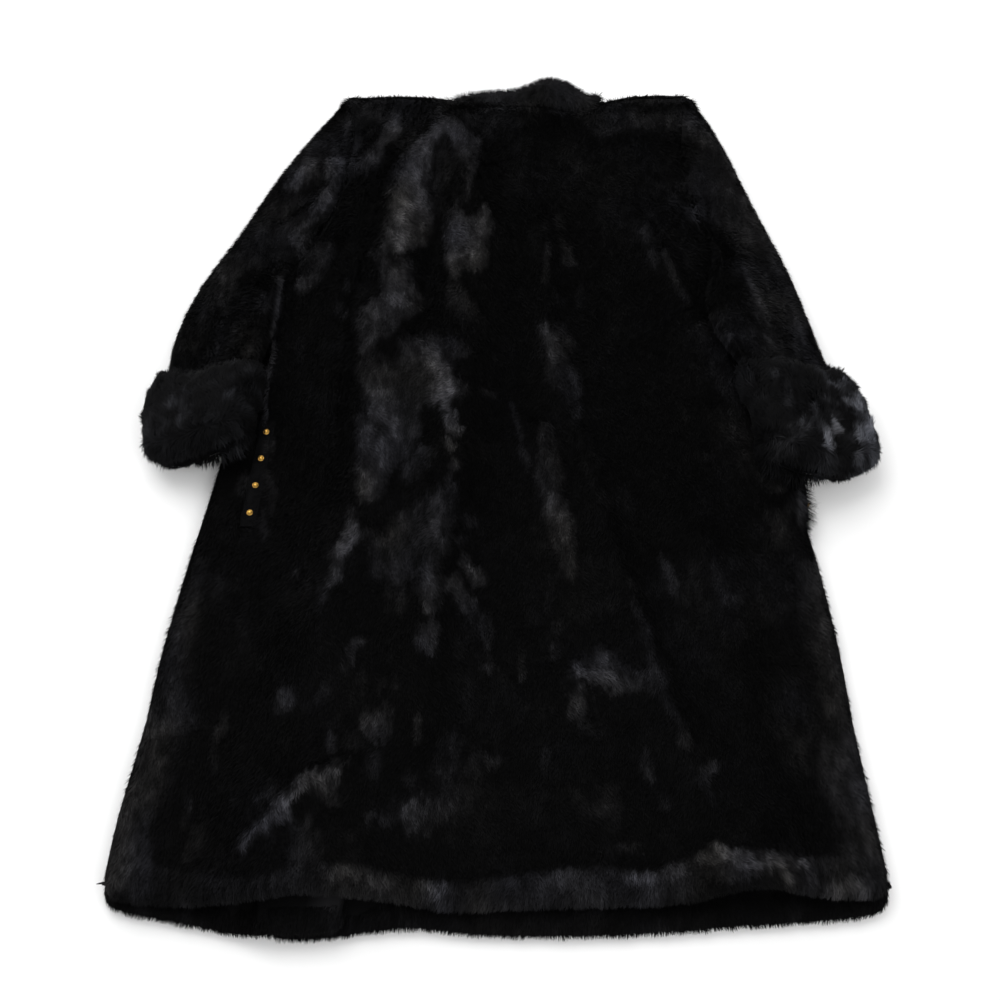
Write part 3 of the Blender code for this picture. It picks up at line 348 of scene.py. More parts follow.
     579, 562, 572, 577, 562, 566, 555, 545, 547, 520, 537, 495, 535, 475, 541, 455),
    ("centre_line", SOFT, 6, 540, 424, 548, 429, 553, 445, 557, 460, 557, 480, 550, 491, 545, 475, 543, 455,
     539, 440),
    ("centre_line_low", CLEAR, 6, 547, 492, 556, 494, 563, 508, 569, 522, 573, 538, 565, 543, 557, 530,
     550, 515, 546, 504),
    ("below_cuff_right", HAZE, 12, 762, 510, 785, 508, 798, 492, 802, 540, 797, 562, 785, 546, 768, 541,
     754, 538, 763, 525),
    ("upper_back_haze", TRACE, 30, 500, 150, 560, 130, 620, 135, 680, 150, 700, 200, 690, 260, 640, 240,
     560, 200, 510, 190),
)) + RAISED.fields((
    ("sleeve_left_upper", HAZE, 14, 262, 205, 285, 190, 305, 190, 318, 180, 320, 195, 305, 210, 295, 222,
     288, 240, 284, 262, 270, 272, 250, 262, 242, 262, 238, 250, 248, 225),
    ("sleeve_left_rim", FAINT, 10, 200, 290, 215, 262, 235, 238, 250, 212, 270, 195, 275, 205, 255, 228,
     242, 255, 225, 280, 212, 305, 200, 320),
    ("sleeve_left_outer", CLEAR, 6, 216, 262, 222, 262, 222, 285, 218, 300, 213, 300, 216, 280),
    ("cap_field", FAINT, 12, 302, 140, 318, 130, 335, 135, 350, 145, 378, 150, 380, 160, 365, 168, 348, 165,
     338, 185, 328, 205, 315, 212, 300, 225, 295, 215, 310, 200, 320, 180, 310, 175, 300, 180, 290, 185,
     285, 180, 298, 160),
    ("cap_ridge", CLEAR, 8, 322, 142, 340, 150, 350, 152, 374, 145, 378, 158, 360, 162, 347, 158, 342, 172,
     334, 190, 325, 205, 306, 216, 296, 226, 290, 232, 286, 228, 300, 215, 318, 198, 326, 180, 322, 160),
    ("cap_ridge_bright", BRIGHT, 6, 326, 148, 342, 150, 345, 160, 336, 175, 334, 190, 324, 203, 308, 210,
     318, 196, 328, 178, 326, 160),
    ("cap_outer_bright", BRIGHT, 8, 284, 182, 298, 160, 302, 150, 310, 152, 312, 166, 300, 177, 290, 184),
    ("cap_lobe", FAINT, 8, 292, 225, 302, 222, 315, 225, 325, 235, 336, 238, 332, 250, 325, 262, 318, 275,
     305, 285, 292, 282, 295, 270, 302, 255, 295, 240),
    ("cap_lobe_hollow", DULL, 6, 304, 222, 318, 222, 328, 235, 322, 242, 315, 240, 308, 232),
    ("cap_lobe_left", CLEAR, 5, 290, 226, 298, 222, 304, 235, 309, 250, 302, 254, 298, 242, 287, 236),
    ("cap_lobe_right", SOFT, 5, 325, 238, 331, 238, 326, 255, 318, 270, 310, 280, 306, 276, 316, 262,
     322, 250),
    ("cap_lobe_low", BRIGHT, 5, 296, 270, 301, 268, 307, 278, 300, 284, 293, 282),
    ("shoulder_right_rim", SOFT, 12, 560, 96, 600, 102, 640, 102, 680, 102, 702, 108, 722, 130, 737, 160,
     752, 190, 767, 215, 787, 245, 775, 250, 755, 215, 735, 180, 720, 155, 700, 135, 680, 120, 640, 116,
     612, 122, 600, 128, 585, 112, 562, 106),
    ("sleeve_right_field", FAINT, 22, 695, 140, 715, 142, 735, 165, 750, 200, 765, 230, 780, 260, 790, 290,
     800, 330, 805, 362, 783, 368, 768, 340, 750, 300, 735, 260, 720, 220, 706, 200, 694, 196, 690, 178),
    ("sleeve_right_rim", SOFT, 8, 700, 110, 724, 132, 740, 160, 755, 192, 771, 225, 785, 255, 798, 290,
     811, 330, 821, 370, 812, 380, 800, 345, 790, 310, 778, 275, 765, 245, 748, 212, 735, 178, 718, 145,
     700, 122),
    ("sleeve_right_hollow", DIM, 8, 776, 326, 787, 329, 800, 360, 798, 373, 789, 362),
    ("shoulder_right_soft", SOFT, 7, 684, 198, 698, 195, 709, 199, 707, 212, 695, 211, 685, 207),
    ("sleeve_right_low", SOFT, 6, 762, 341, 770, 344, 779, 357, 791, 367, 802, 374, 790, 381, 777, 372,
     767, 358),
    ("sleeve_right_inner", HAZE, 12, 712, 315, 735, 312, 747, 325, 762, 345, 772, 362, 765, 374, 750, 364,
     738, 347, 720, 337, 710, 326),
))
HEM_FIELDS = RAISED.fields((
    ("hem_ridge", BRIGHT, 6, 700, 855, 718, 845, 735, 847, 746, 852, 760, 859, 780, 857, 780, 867, 750, 869,
     720, 865, 700, 866),
    ("hem_hollow", DARK, 5, 700, 882, 720, 885, 745, 881, 775, 878, 787, 888, 780, 894, 740, 897, 710, 895),
))
# Rows of a name, a tone, the middle's column and row, half a width and length in pixels, and a turn.
COAT_PATCHES = BODY.patches((
    ("pleat_glint_upper", GLARE, 425, 157, 7, 5),
    ("pleat_glint_second", GLARE, 408, 187, 8, 8, -35),
    ("pleat_glint_right", GLARE, 454, 266, 4, 9, -10),
    ("pleat_spot", DULL, 396, 404, 5, 5),
    ("pleat_dull", DULL, 372, 427, 8, 4),
    ("pleat_dot_upper", CLEAR, 449, 446, 5, 6),
    ("pleat_dot_middle", SOFT, 452, 469, 7, 8),
    ("pleat_dot_low", SOFT, 450, 488, 5, 11, 10),
    ("foot_hole_left", DIM, 389, 565, 7, 6),
    ("foot_hole_middle", DIM, 419, 562, 7, 6, -20),
    ("foot_hole_right", DIM, 449, 567, 8, 9),
    ("foot_prong_glint", BRIGHT, 470, 572, 4, 7, 20),
    ("foot_prong_dot", CLEAR, 473, 603, 5, 6, 40),
    ("foot_prong_spot", CLEAR, 452, 588, 4, 6),
    ("foot_link_right", FAINT, 460, 541, 9, 5),
    ("foot_haze_right", HAZE, 467, 520, 9, 7),
    ("foot_link_left", FAINT, 369, 539, 8, 7),
    ("foot_end_bright", CLEAR, 428, 648, 7, 7),
    ("foot_drip", HAZE, 402, 600, 5, 14),
    ("tail_left_top", FAINT, 349, 517, 5, 8),
    ("tail_left_end", HAZE, 321, 598, 4, 7, -20),
    ("left_hook_upper", HAZE, 348, 281, 4, 11, -25),
    ("left_hook_low", HAZE, 341, 311, 6, 12, 20),
    ("left_hip", TRACE, 215, 582, 14, 14),
    ("left_dot", FAINT, 297, 578, 5, 4),
    ("left_low_dot", SOFT, 287, 703, 8, 13, -15),
    ("left_low_core", CLEAR, 286, 706, 4, 4),
    ("left_thin", HAZE, 322, 697, 5, 10),
    ("left_mid_streak", FAINT, 352, 657, 7, 18, -28),
    ("left_mid_core", SOFT, 352, 659, 5, 5, -40),
    ("left_mid_foot", FAINT, 363, 682, 6, 7, -20),
    ("left_mid_side", HAZE, 380, 686, 5, 7),
    ("left_mid_far", HAZE, 395, 689, 4, 7),
    ("low_left_core", CLEAR, 380, 718, 11, 6, 25),
    ("low_left_dot", SOFT, 332, 744, 7, 11),
    ("low_left_haze", HAZE, 351, 746, 11, 9),
    ("low_mid_thin", FAINT, 418, 729, 4, 12),
    ("seam_piece_upper", FAINT, 217, 730, 6, 15, -15),
    ("seam_piece_low", HAZE, 212, 756, 5, 12),
    ("seam_piece_foot", HAZE, 186, 810, 6, 13, -10),
    ("seam_piece_end", HAZE, 191, 848, 7, 17, -10),
    ("rim_left_spot", SOFT, 160, 762, 7, 6),
    ("ridge_glare", GLARE, 318, 781, 12, 4, 16),
    ("ridge_elbow", BRIGHT, 283, 812, 6, 12, -15),
    ("ridge_back", HAZE, 268, 802, 10, 5),
    ("ridge_haze", HAZE, 371, 767, 10, 13, -25),
    ("ridge_far", HAZE, 408, 780, 7, 8),
    ("low_blob_bright", BRIGHT, 406, 814, 7, 6),
    ("low_blob_left", FAINT, 369, 820, 7, 6),
    ("low_blob_link", HAZE, 386, 822, 11, 5),
    ("low_blob_top", FAINT, 457, 789, 7, 7),
    ("low_mid_side", HAZE, 474, 765, 9, 13),
    ("low_mid_dot", FAINT, 490, 757, 8, 6),
    ("low_mid_foot", HAZE, 466, 795, 11, 13),
    ("left_foot_core", SOFT, 304, 850, 9, 20),
    ("streak_link", HAZE, 474, 616, 7, 6, -40),
    ("streak_down", HAZE, 487, 636, 6, 20),
    ("streak_dot", FAINT, 488, 665, 5, 7),
    ("hook_thin", HAZE, 521, 658, 4, 12),
    ("hook_dot", SOFT, 523, 673, 5, 7),
    ("hook_tail", TRACE, 508, 690, 6, 12, 25),
    ("mid_faint_upper", HAZE, 549, 604, 4, 10),
    ("mid_faint", HAZE, 556, 627, 6, 11),
    ("mid_faint_dot", FAINT, 558, 651, 5, 8),
    ("mid_haze", TRACE, 535, 612, 8, 10),
    ("flare_top", HAZE, 633, 586, 5, 6),
    ("flare_dot", FAINT, 646, 635, 6, 9, 10),
    ("right_wide_top", BRIGHT, 606, 657, 5, 6),
    ("right_wide_left", BRIGHT, 581, 673, 7, 4),
    ("right_wide_side", SOFT, 643, 687, 6, 5),
    ("flare_end", FAINT, 687, 740, 7, 9, 15),
    ("loop_core", BRIGHT, 577, 703, 5, 8),
    ("low_centre_thin", HAZE, 546, 753, 5, 13),
    ("foot_right_halo", FAINT, 648, 763, 7, 13, 10),
    ("foot_right_dot", SOFT, 650, 773, 6, 6),
    ("foot_outer", FAINT, 708, 770, 9, 6, 20),
    ("foot_outer_low", HAZE, 703, 778, 6, 8),
    ("foot_thin", HAZE, 665, 804, 5, 7),
    ("foot_field_core", FAINT, 592, 807, 9, 7),
    ("foot_field_side", FAINT, 611, 805, 7, 6),
    ("foot_curl", FAINT, 630, 846, 11, 4, -6),
    ("right_hip_core", SOFT, 728, 598, 8, 6),
    ("right_hip_side", FAINT, 737, 601, 9, 8),
    ("right_hip_tail", HAZE, 744, 631, 5, 12, 20),
    ("flare_right_side", HAZE, 687, 605, 5, 8),
    ("fold_top", SOFT, 646, 231, 6, 11, 15),
    ("fold_corner", SOFT, 665, 249, 8, 5),
    ("fold_side", HAZE, 652, 255, 6, 9),
    ("spine_top", HAZE, 560, 221, 8, 8),
    ("spine_cross", HAZE, 556, 296, 9, 5, -20),
    ("spine_side", HAZE, 580, 292, 5, 13),
    ("spine_core", BRIGHT, 553, 351, 5, 5),
    ("spine_pale", FAINT, 562, 331, 6, 14),
    ("spine_foot", FAINT, 574, 388, 7, 8),
    ("spine_end", HAZE, 577, 408, 5, 7),
    ("centre_thin_tail", HAZE, 527, 455, 6, 13, 15),
    ("centre_core", BRIGHT, 561, 516, 5, 8, 15),
    ("centre_end", SOFT, 572, 555, 5, 4),
    ("right_faint_upper", TRACE, 591, 478, 5, 14, 15),
    ("right_faint_low", TRACE, 601, 497, 5, 10),
    ("back_dot", HAZE, 610, 183, 6, 4),
    ("back_faint", TRACE, 600, 220, 12, 6, 15),
    ("below_cuff_right_rim", CLEAR, 804, 508, 6, 16),
    ("below_cuff_right_glow", FAINT, 778, 528, 9, 9),
    ("right_soft_a", TRACE, 725, 470, 8, 12, -10),
    ("right_soft_b", TRACE, 707, 457, 9, 5),
    ("pocket_strip_upper", FAINT, 268, 446, 6, 9),
    ("pocket_strip_middle", FAINT, 267, 490, 8, 20, 8),
    ("pocket_strip_low", FAINT, 262, 522, 6, 14, 8),
    ("below_cuff_left", FAINT, 242, 483, 8, 12),
)) + RAISED.patches((
    ("cap_dot", GLARE, 340, 162, 6, 5),
    ("sleeve_left_blob", SOFT, 233, 272, 5, 10),
    ("sleeve_right_end", CLEAR, 768, 320, 6, 9),
    ("sleeve_right_mark", FAINT, 727, 338, 9, 6),
    ("sleeve_right_foot", FAINT, 745, 388, 5, 9, 15),
))
HEM_PATCHES = RAISED.patches((
    ("hem_glow_left", CLEAR, 570, 880, 18, 9),
    ("hem_glow_middle", CLEAR, 646, 880, 20, 7),
    ("hem_glow_right", CLEAR, 676, 872, 9, 9, 30),
    ("hem_ridge_glare", BRIGHT, 728, 853, 11, 5, -10),
    ("hem_ridge_end", BRIGHT, 772, 856, 5, 4),
    ("hem_blue_curl", BRIGHT, 803, 862, 7, 4, 10),
    ("hem_dot", CLEAR, 787, 882, 7, 5),
    ("hem_corner", BRIGHT, 862, 884, 13, 9),
    ("hem_corner_low", CLEAR, 838, 893, 18, 8),
    ("hem_left_curl", CLEAR, 431, 893, 15, 9),
    ("hem_left_dot", CLEAR, 375, 885, 9, 6),
    ("hem_left_fill", SOFT, 341, 878, 14, 7),
))
# Rows of a name, a tone, a reach in millimetres, and the path's columns and rows in turn.
COAT_LINES = BODY.lines((
    ("flare_line", HAZE, 6, 634, 600, 640, 615, 645, 632, 652, 650, 652, 665),
    ("flare_low", HAZE, 7, 667, 700, 672, 712, 680, 722, 686, 735),
    ("flare_right", FAINT, 9, 664, 556, 668, 566, 675, 578, 677, 592),
    ("spine_thin", HAZE, 6, 549, 244, 546, 262, 545, 282),
    ("centre_thin", FAINT, 5.5, 511, 402, 517, 420, 521, 436),
    ("cheek_line", HAZE, 7, 483, 392, 492, 396),
    ("foot_right_line", TRACE, 6, 700, 780, 710, 795, 716, 805),
)) + RAISED.lines((
    ("fold_line", FAINT, 7, 652, 246, 665, 248, 672, 262, 680, 280, 687, 292),
    ("fold_line_low", HAZE, 8, 718, 328, 728, 348, 738, 366, 745, 385, 752, 400),
    ("sleeve_right_line", CLEAR, 6.5, 743, 272, 748, 285, 755, 300, 762, 313, 768, 322),
))
# Marks that were set on the coat by eye, beside the render, in millimetres.
# They paint highlights into the pile's colour.
COAT_TOUCHES = (
    Patch("neck_fill", SOFT, -46, 488, 16, 26),
    Patch("sleeve_left_low", FAINT, -358, 122, 12, 22, -10),
    Patch("sleeve_left_low_core", SOFT, -362, 112, 6, 9),
    Patch("sleeve_left_middle", HAZE, -330, 152, 13, 24, -8),
    Patch("sleeve_left_inner", FAINT, -312, 132, 8, 22, -6),
    Patch("sleeve_left_fold", HAZE, -303, 190, 9, 30, -4),
    Patch("beside_cuff_right", HAZE, 285, 30, 20, 38),
    Patch("beside_cuff_right_low", TRACE, 262, 10, 26, 50),
    Patch("beside_cuff_left", FAINT, -306, 22, 8, 26),
    Patch("below_cuff_right_shade", HAZE, 312, -36, 20, 14),
    Stroke("left_sleeve_edge", SOFT, 0, 3.6, 3.6, ((-286, 238), (-283, 216), (-285, 188), (-287, 160),
           (-288, 144))),
    Stroke("left_sleeve_edge_low", BRIGHT, 0, 4.6, 4.6, ((-287, 152), (-287, 139), (-291, 118), (-293, 98),
           (-294, 71), (-292, 50), (-294, 34))),
    Stroke("beside_sleeve_right", HAZE, 0, 24, 20, ((244, 168), (262, 110), (278, 40), (296, -24))),
    Stroke("left_sleeve_band", FAINT, 0, 9, 9, ((-332, 262), (-343, 222), (-350, 205), (-352, 180),
           (-351, 150), (-350, 118))),
    Stroke("top_rim", SOFT, 0, 13, 13, ((-206, 518), (-164, 523), (-130, 516), (-85, 509), (-40, 498),
           (50, 500), (112, 504), (138, 518), (200, 524), (236, 520))),
    Stroke("ridge_line", BRIGHT, 0, 4.5, 4.5, ((-281, -470), (-266, -449), (-250, -433), (-236, -420),
           (-222, -407), (-206, -395), (-188, -386))),
)
COAT_LIGHTS = COAT_FIELDS + COAT_PATCHES + COAT_LINES + COAT_TOUCHES
# Highlights painted on the lining's satin: the fold's corner and the arc of its edge.
LINING_MARKS = (
    Patch("fold_corner", 0.42, -184, -523, 13, 9, -20),
    Stroke("edge_arc", 0.40, 0, 3, 3,
           ((-300, -522), (-273, -515), (-250, -512), (-227, -514),
            (-207, -520), (-187, -531))),
)
# Highlights painted on the front's pile at its hem.
FRONT_MARKS = (
    Stroke("edge_arc", CLEAR, 0, 3, 3, ((-300, -522), (-273, -515), (-250, -512), (-227, -514),
                                        (-207, -520), (-187, -531))),
    Patch("corner", SOFT, -184, -524, 9, 8, -20),
)
BARE_CORNER = Patch("bare_corner", 1.0, -186, -522, 16, 8, -20)     # no pile hides the lining
# The cuffs' marks: highlights painted on their curls, and on the right cuff painted shade in its hollows.
LEFT_CUFF_MARKS = (
    Patch("top_line", LOW_GLEAM, -399, 57, 3, 11, -15),
    Patch("outer_soft", LOW_GLEAM, -417, 9, 12, 13),
    Patch("outer_low", LOW_GLEAM, -395, -9, 10, 9),
    Patch("middle", LOW_GLEAM, -378, 21, 8, 9),
    Patch("inner", LOW_GLEAM, -344, 17, 9, 10),
    Patch("inner_top", LOW_GLEAM, -323, 51, 9, 12),
    Patch("inner_side", LOW_GLEAM, -322, -5, 9, 8),
    Patch("top_middle", LOW_GLEAM, -375, 64, 11, 9),
    Patch("rim", LOW_GLEAM, -424, 35, 3, 21, -8),
    Stroke("inner_line", GLARE, 0, 4.5, 4.5,
           ((-290, 100), (-289, 70), (-292, 40), (-297, 20))),
)
RIGHT_CUFF_MARKS = (
    Patch("outer_top", GLEAM, 408, 60, 14, 16, -20),
    Patch("outer_band", GLEAM, 423, 26, 8, 24, -15),
    Patch("outer_drop", GLEAM, 409, 12, 6, 12, 20),
    Patch("inner_curl", GLEAM, 378, 13, 5, 8, 20),
    Patch("inner_curl_low", GLEAM, 367, -5, 7, 15, 10),
    Patch("low_outer", HALF_GLEAM, 405, -18, 8, 12),
    Patch("outer_low", HALF_GLEAM, 423, -4, 9, 18),
    Patch("outer_join", HALF_GLEAM, 411, 38, 9, 9),
    Patch("inner_soft", LOW_GLEAM, 343, 9, 9, 10),
    Patch("inner_high", LOW_GLEAM, 352, 34, 7, 5),
    Patch("top_edge", HALF_GLEAM, 389, 76, 16, 7, 20),
    Patch("left_soft", LOW_GLEAM, 325, -14, 10, 12),
    Patch("low_soft", LOW_GLEAM, 359, -32, 11, 9),
    Patch("inner_link", LOW_GLEAM, 376, 28, 6, 10, 15),
    Patch("hollow_outer", DARK, 403, -1, 6, 8),
    Patch("hollow_middle", DARK, 399, 30, 7, 12),
    Patch("hollow_low", DARK, 372, -23, 10, 6),
    Patch("hollow_low_outer", DARK, 385, -36, 16, 8, 20),
)

# The upper edge of the hem band of the back, where a sheen is painted into the pile, from left to right: x
# and y.
HEM_BAND_TOP = ((-0.432, -0.468), (-0.330, -0.495), (-0.276, -0.503), (-0.223, -0.490),
                (-0.170, -0.486), (-0.117, -0.497), (-0.064, -0.504), (-0.012, -0.499),
                (0.050, -0.489), (0.094, -0.487), (0.137, -0.495), (0.201, -0.476),
                (0.254, -0.470), (0.306, -0.478), (0.392, -0.474))
# How much sheen is painted into the hem band along it: x and tone.
HEM_BAND_TONE = ((-0.432, 0.03), (-0.300, 0.03), (-0.240, 0.06), (-0.150, 0.06), (-0.060, 0.08),
                 (0.020, 0.09), (0.110, 0.09), (0.180, 0.08), (0.270, 0.08), (0.330, 0.07),
                 (0.400, 0.06))
# The middle line of each sleeve, from the cuff up: y and x.
SLEEVE_LINES = {
    Side.LEFT: ((0.00, -0.360), (0.08, -0.355), (0.20, -0.345), (0.30, -0.320), (0.40, -0.285),
                (0.50, -0.235)),
    Side.RIGHT: ((0.00, 0.360), (0.08, 0.345), (0.20, 0.318), (0.30, 0.305), (0.40, 0.285),
                 (0.50, 0.255)),
}


# ------------------------------------------------------------------ small maths on arrays
def unit(vectors: np.ndarray) -> np.ndarray:
    """Scale each row of an array of vectors to length 1."""
    return vectors / np.maximum(np.linalg.norm(vectors, axis=1, keepdims=True), 1e-9)


def ease(values: np.ndarray) -> np.ndarray:
    """Rise smoothly from 0 to 1 while the values go from 0 to 1."""
    clipped = np.clip(values, 0.0, 1.0)
    return clipped * clipped * (3.0 - 2.0 * clipped)


def read_line(line: Sequence[tuple[float, float]], at: np.ndarray) -> np.ndarray:
    """Read a table of pairs, of where and how much, between its rows."""
    where, amount = zip(*line)
    return np.interp(at, where, amount)


def from_line(places: np.ndarray, start: np.ndarray, end: np.ndarray) -> np.ndarray:
    """Find how far and which way each place is from a straight line.

    Args:
        places: Places on the coat, x and y.
        start: One end of the line.
        end: Its other end.

    Returns:
        The way from the line's nearest point to each place.
    """
    step = end - start
    along = np.clip((places - start) @ step / (step @ step), 0.0, 1.0)
    return places - (start + along[:, None] * step)


def stroke_share(stroke: Stroke, points: np.ndarray) -> np.ndarray:
    """How much of a stroke each point gets: 1 on its path, 0 beyond its reach.

    Args:
        stroke: The stroke.
        points: Places on the coat, x and y in the first two columns.

    Returns:
        A share from 0 to 1 for each point.
    """
    path = np.array(stroke.path) * MM
    reach = max(stroke.left, stroke.right) * MM
    low, high = path.min(axis=0) - reach, path.max(axis=0) + reach
    inside = ((points[:, :2] > low) & (points[:, :2] < high)).all(axis=1)
    shares = np.zeros(len(points))
    near = points[inside, :2]
    if not len(near):
        return shares
    best_distance = np.full(len(near), np.inf)
    best_reach = np.full(len(near), reach)
    for start, end in zip(path[:-1], path[1:]):
        step = end - start
        offset = from_line(near, start, end)
        distance = np.hypot(offset[:, 0], offset[:, 1])
        on_left = step[0] * offset[:, 1] - step[1] * offset[:, 0] < 0.0
        closer = distance < best_distance
        best_distance = np.where(closer, distance, best_distance)
        best_reach = np.where(closer, np.where(on_left, stroke.left, stroke.right) * MM,
                              best_reach)
    shares[inside] = ease(STROKE_PLATEAU * (1.0 - best_distance / best_reach))
    return shares


def patch_share(patch: Patch, points: np.ndarray) -> np.ndarray:
    """How much of a patch each point gets: 1 in its middle, 0 outside it.

    Args:
        patch: The patch.
        points: Places on the coat, x and y in the first two columns.

    Returns:
        A share from 0 to 1 for each point.
    """
    reach = PATCH_REACH * max(patch.half_width, patch.half_length)
    offset = points[:, :2] / MM - (patch.x, patch.y)
    inside = (np.abs(offset) < reach).all(axis=1)
    cosine, sine = math.cos(math.radians(patch.turn)), math.sin(math.radians(patch.turn))
    near = offset[inside]
    across = (near[:, 0] * cosine + near[:, 1] * sine) / patch.half_width
    along = (near[:, 1] * cosine - near[:, 0] * sine) / patch.half_length
    shares = np.zeros(len(points))
    shares[inside] = ease(PATCH_REACH - np.hypot(across, along))
    return shares


def field_share(shape: Field, points: np.ndarray) -> np.ndarray:
    """How much of a field each point gets: 1 well inside its outline, 0 well outside it.

    Args:
        shape: The field.
        points: Places on the coat, x and y in the first two columns.

    Returns:
        A share from 0 to 1 for each point.
    """
    outline = np.array(shape.outline) * MM
    soft = shape.soft * MM
    shares = np.zeros(len(points))
    inside = ((points[:, :2] > outline.min(axis=0) - soft)
              & (points[:, :2] < outline.max(axis=0) + soft)).all(axis=1)
    near = points[inside, :2]
    nearest = np.full(len(near), np.inf)
    within = np.zeros(len(near), bool)
    for start, end in zip(outline, np.roll(outline, -1, axis=0)):
        step = end - start
        offset = from_line(near, start, end)
        nearest = np.minimum(nearest, np.hypot(offset[:, 0], offset[:, 1]))
        if step[1]:
            crosses = (start[1] > near[:, 1]) != (end[1] > near[:, 1])
            within ^= crosses & (near[:, 0] < start[0] + (near[:, 1] - start[1]) * step[0] / step[1])
    shares[inside] = ease(0.5 + np.where(within, nearest, -nearest) / soft)
    return shares


def mark_light(mark: Stroke | Patch | Field, points: np.ndarray) -> np.ndarray:
    """How much highlight a mark paints on each point or, below 0, how much of the light its painted shade
    takes away.
    """
    find_share = {Stroke: stroke_share, Patch: patch_share, Field: field_share}[type(mark)]
    return mark.tone * find_share(mark, points)


@dataclass(frozen=True)
class SoftNoise:
    """Smooth seeded noise from -1 to 1 over the plane of the coat."""

    seed: int
    across: float
    along: float
    size: int = 256

    def at(self, points: np.ndarray) -> np.ndarray:
        """Read the noise.

        Args:
            points: Places on the coat, x and y in the first two columns.

        Returns:
            A number from -1 to 1 for each point.
        """
        lattice = np.random.default_rng(self.seed).uniform(-1.0, 1.0, (self.size, self.size))
        place = points[:, :2] / (self.across, self.along) + self.size / 2
        corner = np.floor(place).astype(int)
        share = ease(place - corner)
        column, row = corner[:, 0] % self.size, corner[:, 1] % self.size
        next_column, next_row = (column + 1) % self.size, (row + 1) % self.size
        low = lattice[column, row] * (1 - share[:, 0]) + lattice[next_column, row] * share[:, 0]
        high = (lattice[column, next_row] * (1 - share[:, 0])
                + lattice[next_column, next_row] * share[:, 0])
        return low * (1 - share[:, 1]) + high * share[:, 1]


STREAKS = SoftNoise(seed=11, across=0.0024, along=0.0080)
TUFTS = SoftNoise(seed=12, across=0.0065, along=0.0120)
CLUMPS = SoftNoise(seed=18, across=0.015, along=0.024)
CLOUDS = SoftNoise(seed=13, across=0.045, along=0.060)
SWIRLS = SoftNoise(seed=14, across=0.030, along=0.030)
WAVES = SoftNoise(seed=15, across=0.090, along=0.090)
CLUMP_ACROSS = SoftNoise(seed=16, across=0.006, along=0.008)
CLUMP_ALONG = SoftNoise(seed=17, across=0.006, along=0.008)
RAG_ACROSS = SoftNoise(seed=19, across=0.018, along=0.022)
RAG_ALONG = SoftNoise(seed=20, across=0.018, along=0.022)
WISPS = SoftNoise(seed=22, across=0.0030, along=0.0110)
TINTS = SoftNoise(seed=21, across=0.035, along=0.050)


def ragged(places: np.ndarray) -> np.ndarray:
    """Shift places a little, so that a line drawn on them turns ragged.

    Args:
        places: Places on the coat.

    Returns:
        The shifted places.
    """
    moved = places.copy()
    moved[:, 0] += 0.0040 * RAG_ACROSS.at(places) + 0.0020 * CLUMP_ACROSS.at(places)
    moved[:, 1] += 0.0050 * RAG_ALONG.at(places) + 0.0030 * CLUMP_ALONG.at(places)
    moved[:, 1] += 0.0050 * WISPS.at(places)
    return moved


# ------------------------------------------------------------------ materials
def set_inputs(node: bpy.types.Node, values: dict[str, object]) -> None:
    """Set inputs of a node, each by its name."""
    for name, value in values.items():
        node.inputs[name].default_value = value


class NodeSketch:
    """A node tree that is filled node by node."""

    def __init__(self, tree: bpy.types.NodeTree) -> None:
        """Start on the node tree of a material or a group."""
        self.tree = tree

    def add(self, kind: str, **settings: object) -> bpy.types.Node:
        """Add a node and set its properties.

        Args:
            kind: The node's Blender type.
            **settings: Properties to set.

        Returns:
            The new node.
        """
        node = self.tree.nodes.new(kind)
        for name, value in settings.items():
            setattr(node, name, value)
        return node

    def math(self, operation: str, first: object, second: object) -> bpy.types.NodeSocket:
        """Add a Math node on two sockets or numbers.

        Args:
            operation: The Math node's operation.
            first: A socket or number.
            second: A socket or number.

        Returns:
            The node's output.
        """
        node = self.add("ShaderNodeMath", operation=operation)
        for place, value in enumerate((first, second)):
            if isinstance(value, bpy.types.NodeSocket):
                self.tree.links.new(value, node.inputs[place])
            else:
                node.inputs[place].default_value = value
        return node.outputs[0]

    def mix(self, share: object, first: object, second: object,
            blend: str = "MIX") -> bpy.types.NodeSocket:
        """Add a colour Mix node.

        Args:
            share: A socket or number for the factor.
            first: A socket or colour.
            second: A socket or colour.
            blend: The blend type.

        Returns:
            The mixed colour.
        """
        node = self.add("ShaderNodeMix", data_type="RGBA", blend_type=blend)
        for place, value in ((0, share), (6, first), (7, second)):
            if isinstance(value, bpy.types.NodeSocket):
                self.tree.links.new(value, node.inputs[place])
            else:
                node.inputs[place].default_value = value
        return node.outputs[2]

    def link(self, output: bpy.types.NodeSocket, target: bpy.types.NodeSocket) -> None:
        """Join two sockets."""
        self.tree.links.new(output, target)


def new_group(name: str, inputs: Iterable[tuple[str, str]],
              outputs: Iterable[tuple[str, str]]) -> tuple[NodeSketch, bpy.types.Node,
                                                           bpy.types.Node]:
    """Start a shader node group.

    Args:
        name: The group's name.
        inputs: Pairs of a socket's name and type.
        outputs: Pairs of a socket's name and type.

    Returns:
        The sketch of its tree, its input node and its output node.
    """
    tree = bpy.data.node_groups.new(name, "ShaderNodeTree")
    for socket_name, kind in inputs:
        tree.interface.new_socket(name=socket_name, in_out="INPUT", socket_type=kind)
    for socket_name, kind in outputs:
        tree.interface.new_socket(name=socket_name, in_out="OUTPUT", socket_type=kind)
    sketch = NodeSketch(tree)
    return sketch, sketch.add("NodeGroupInput"), sketch.add("NodeGroupOutput")


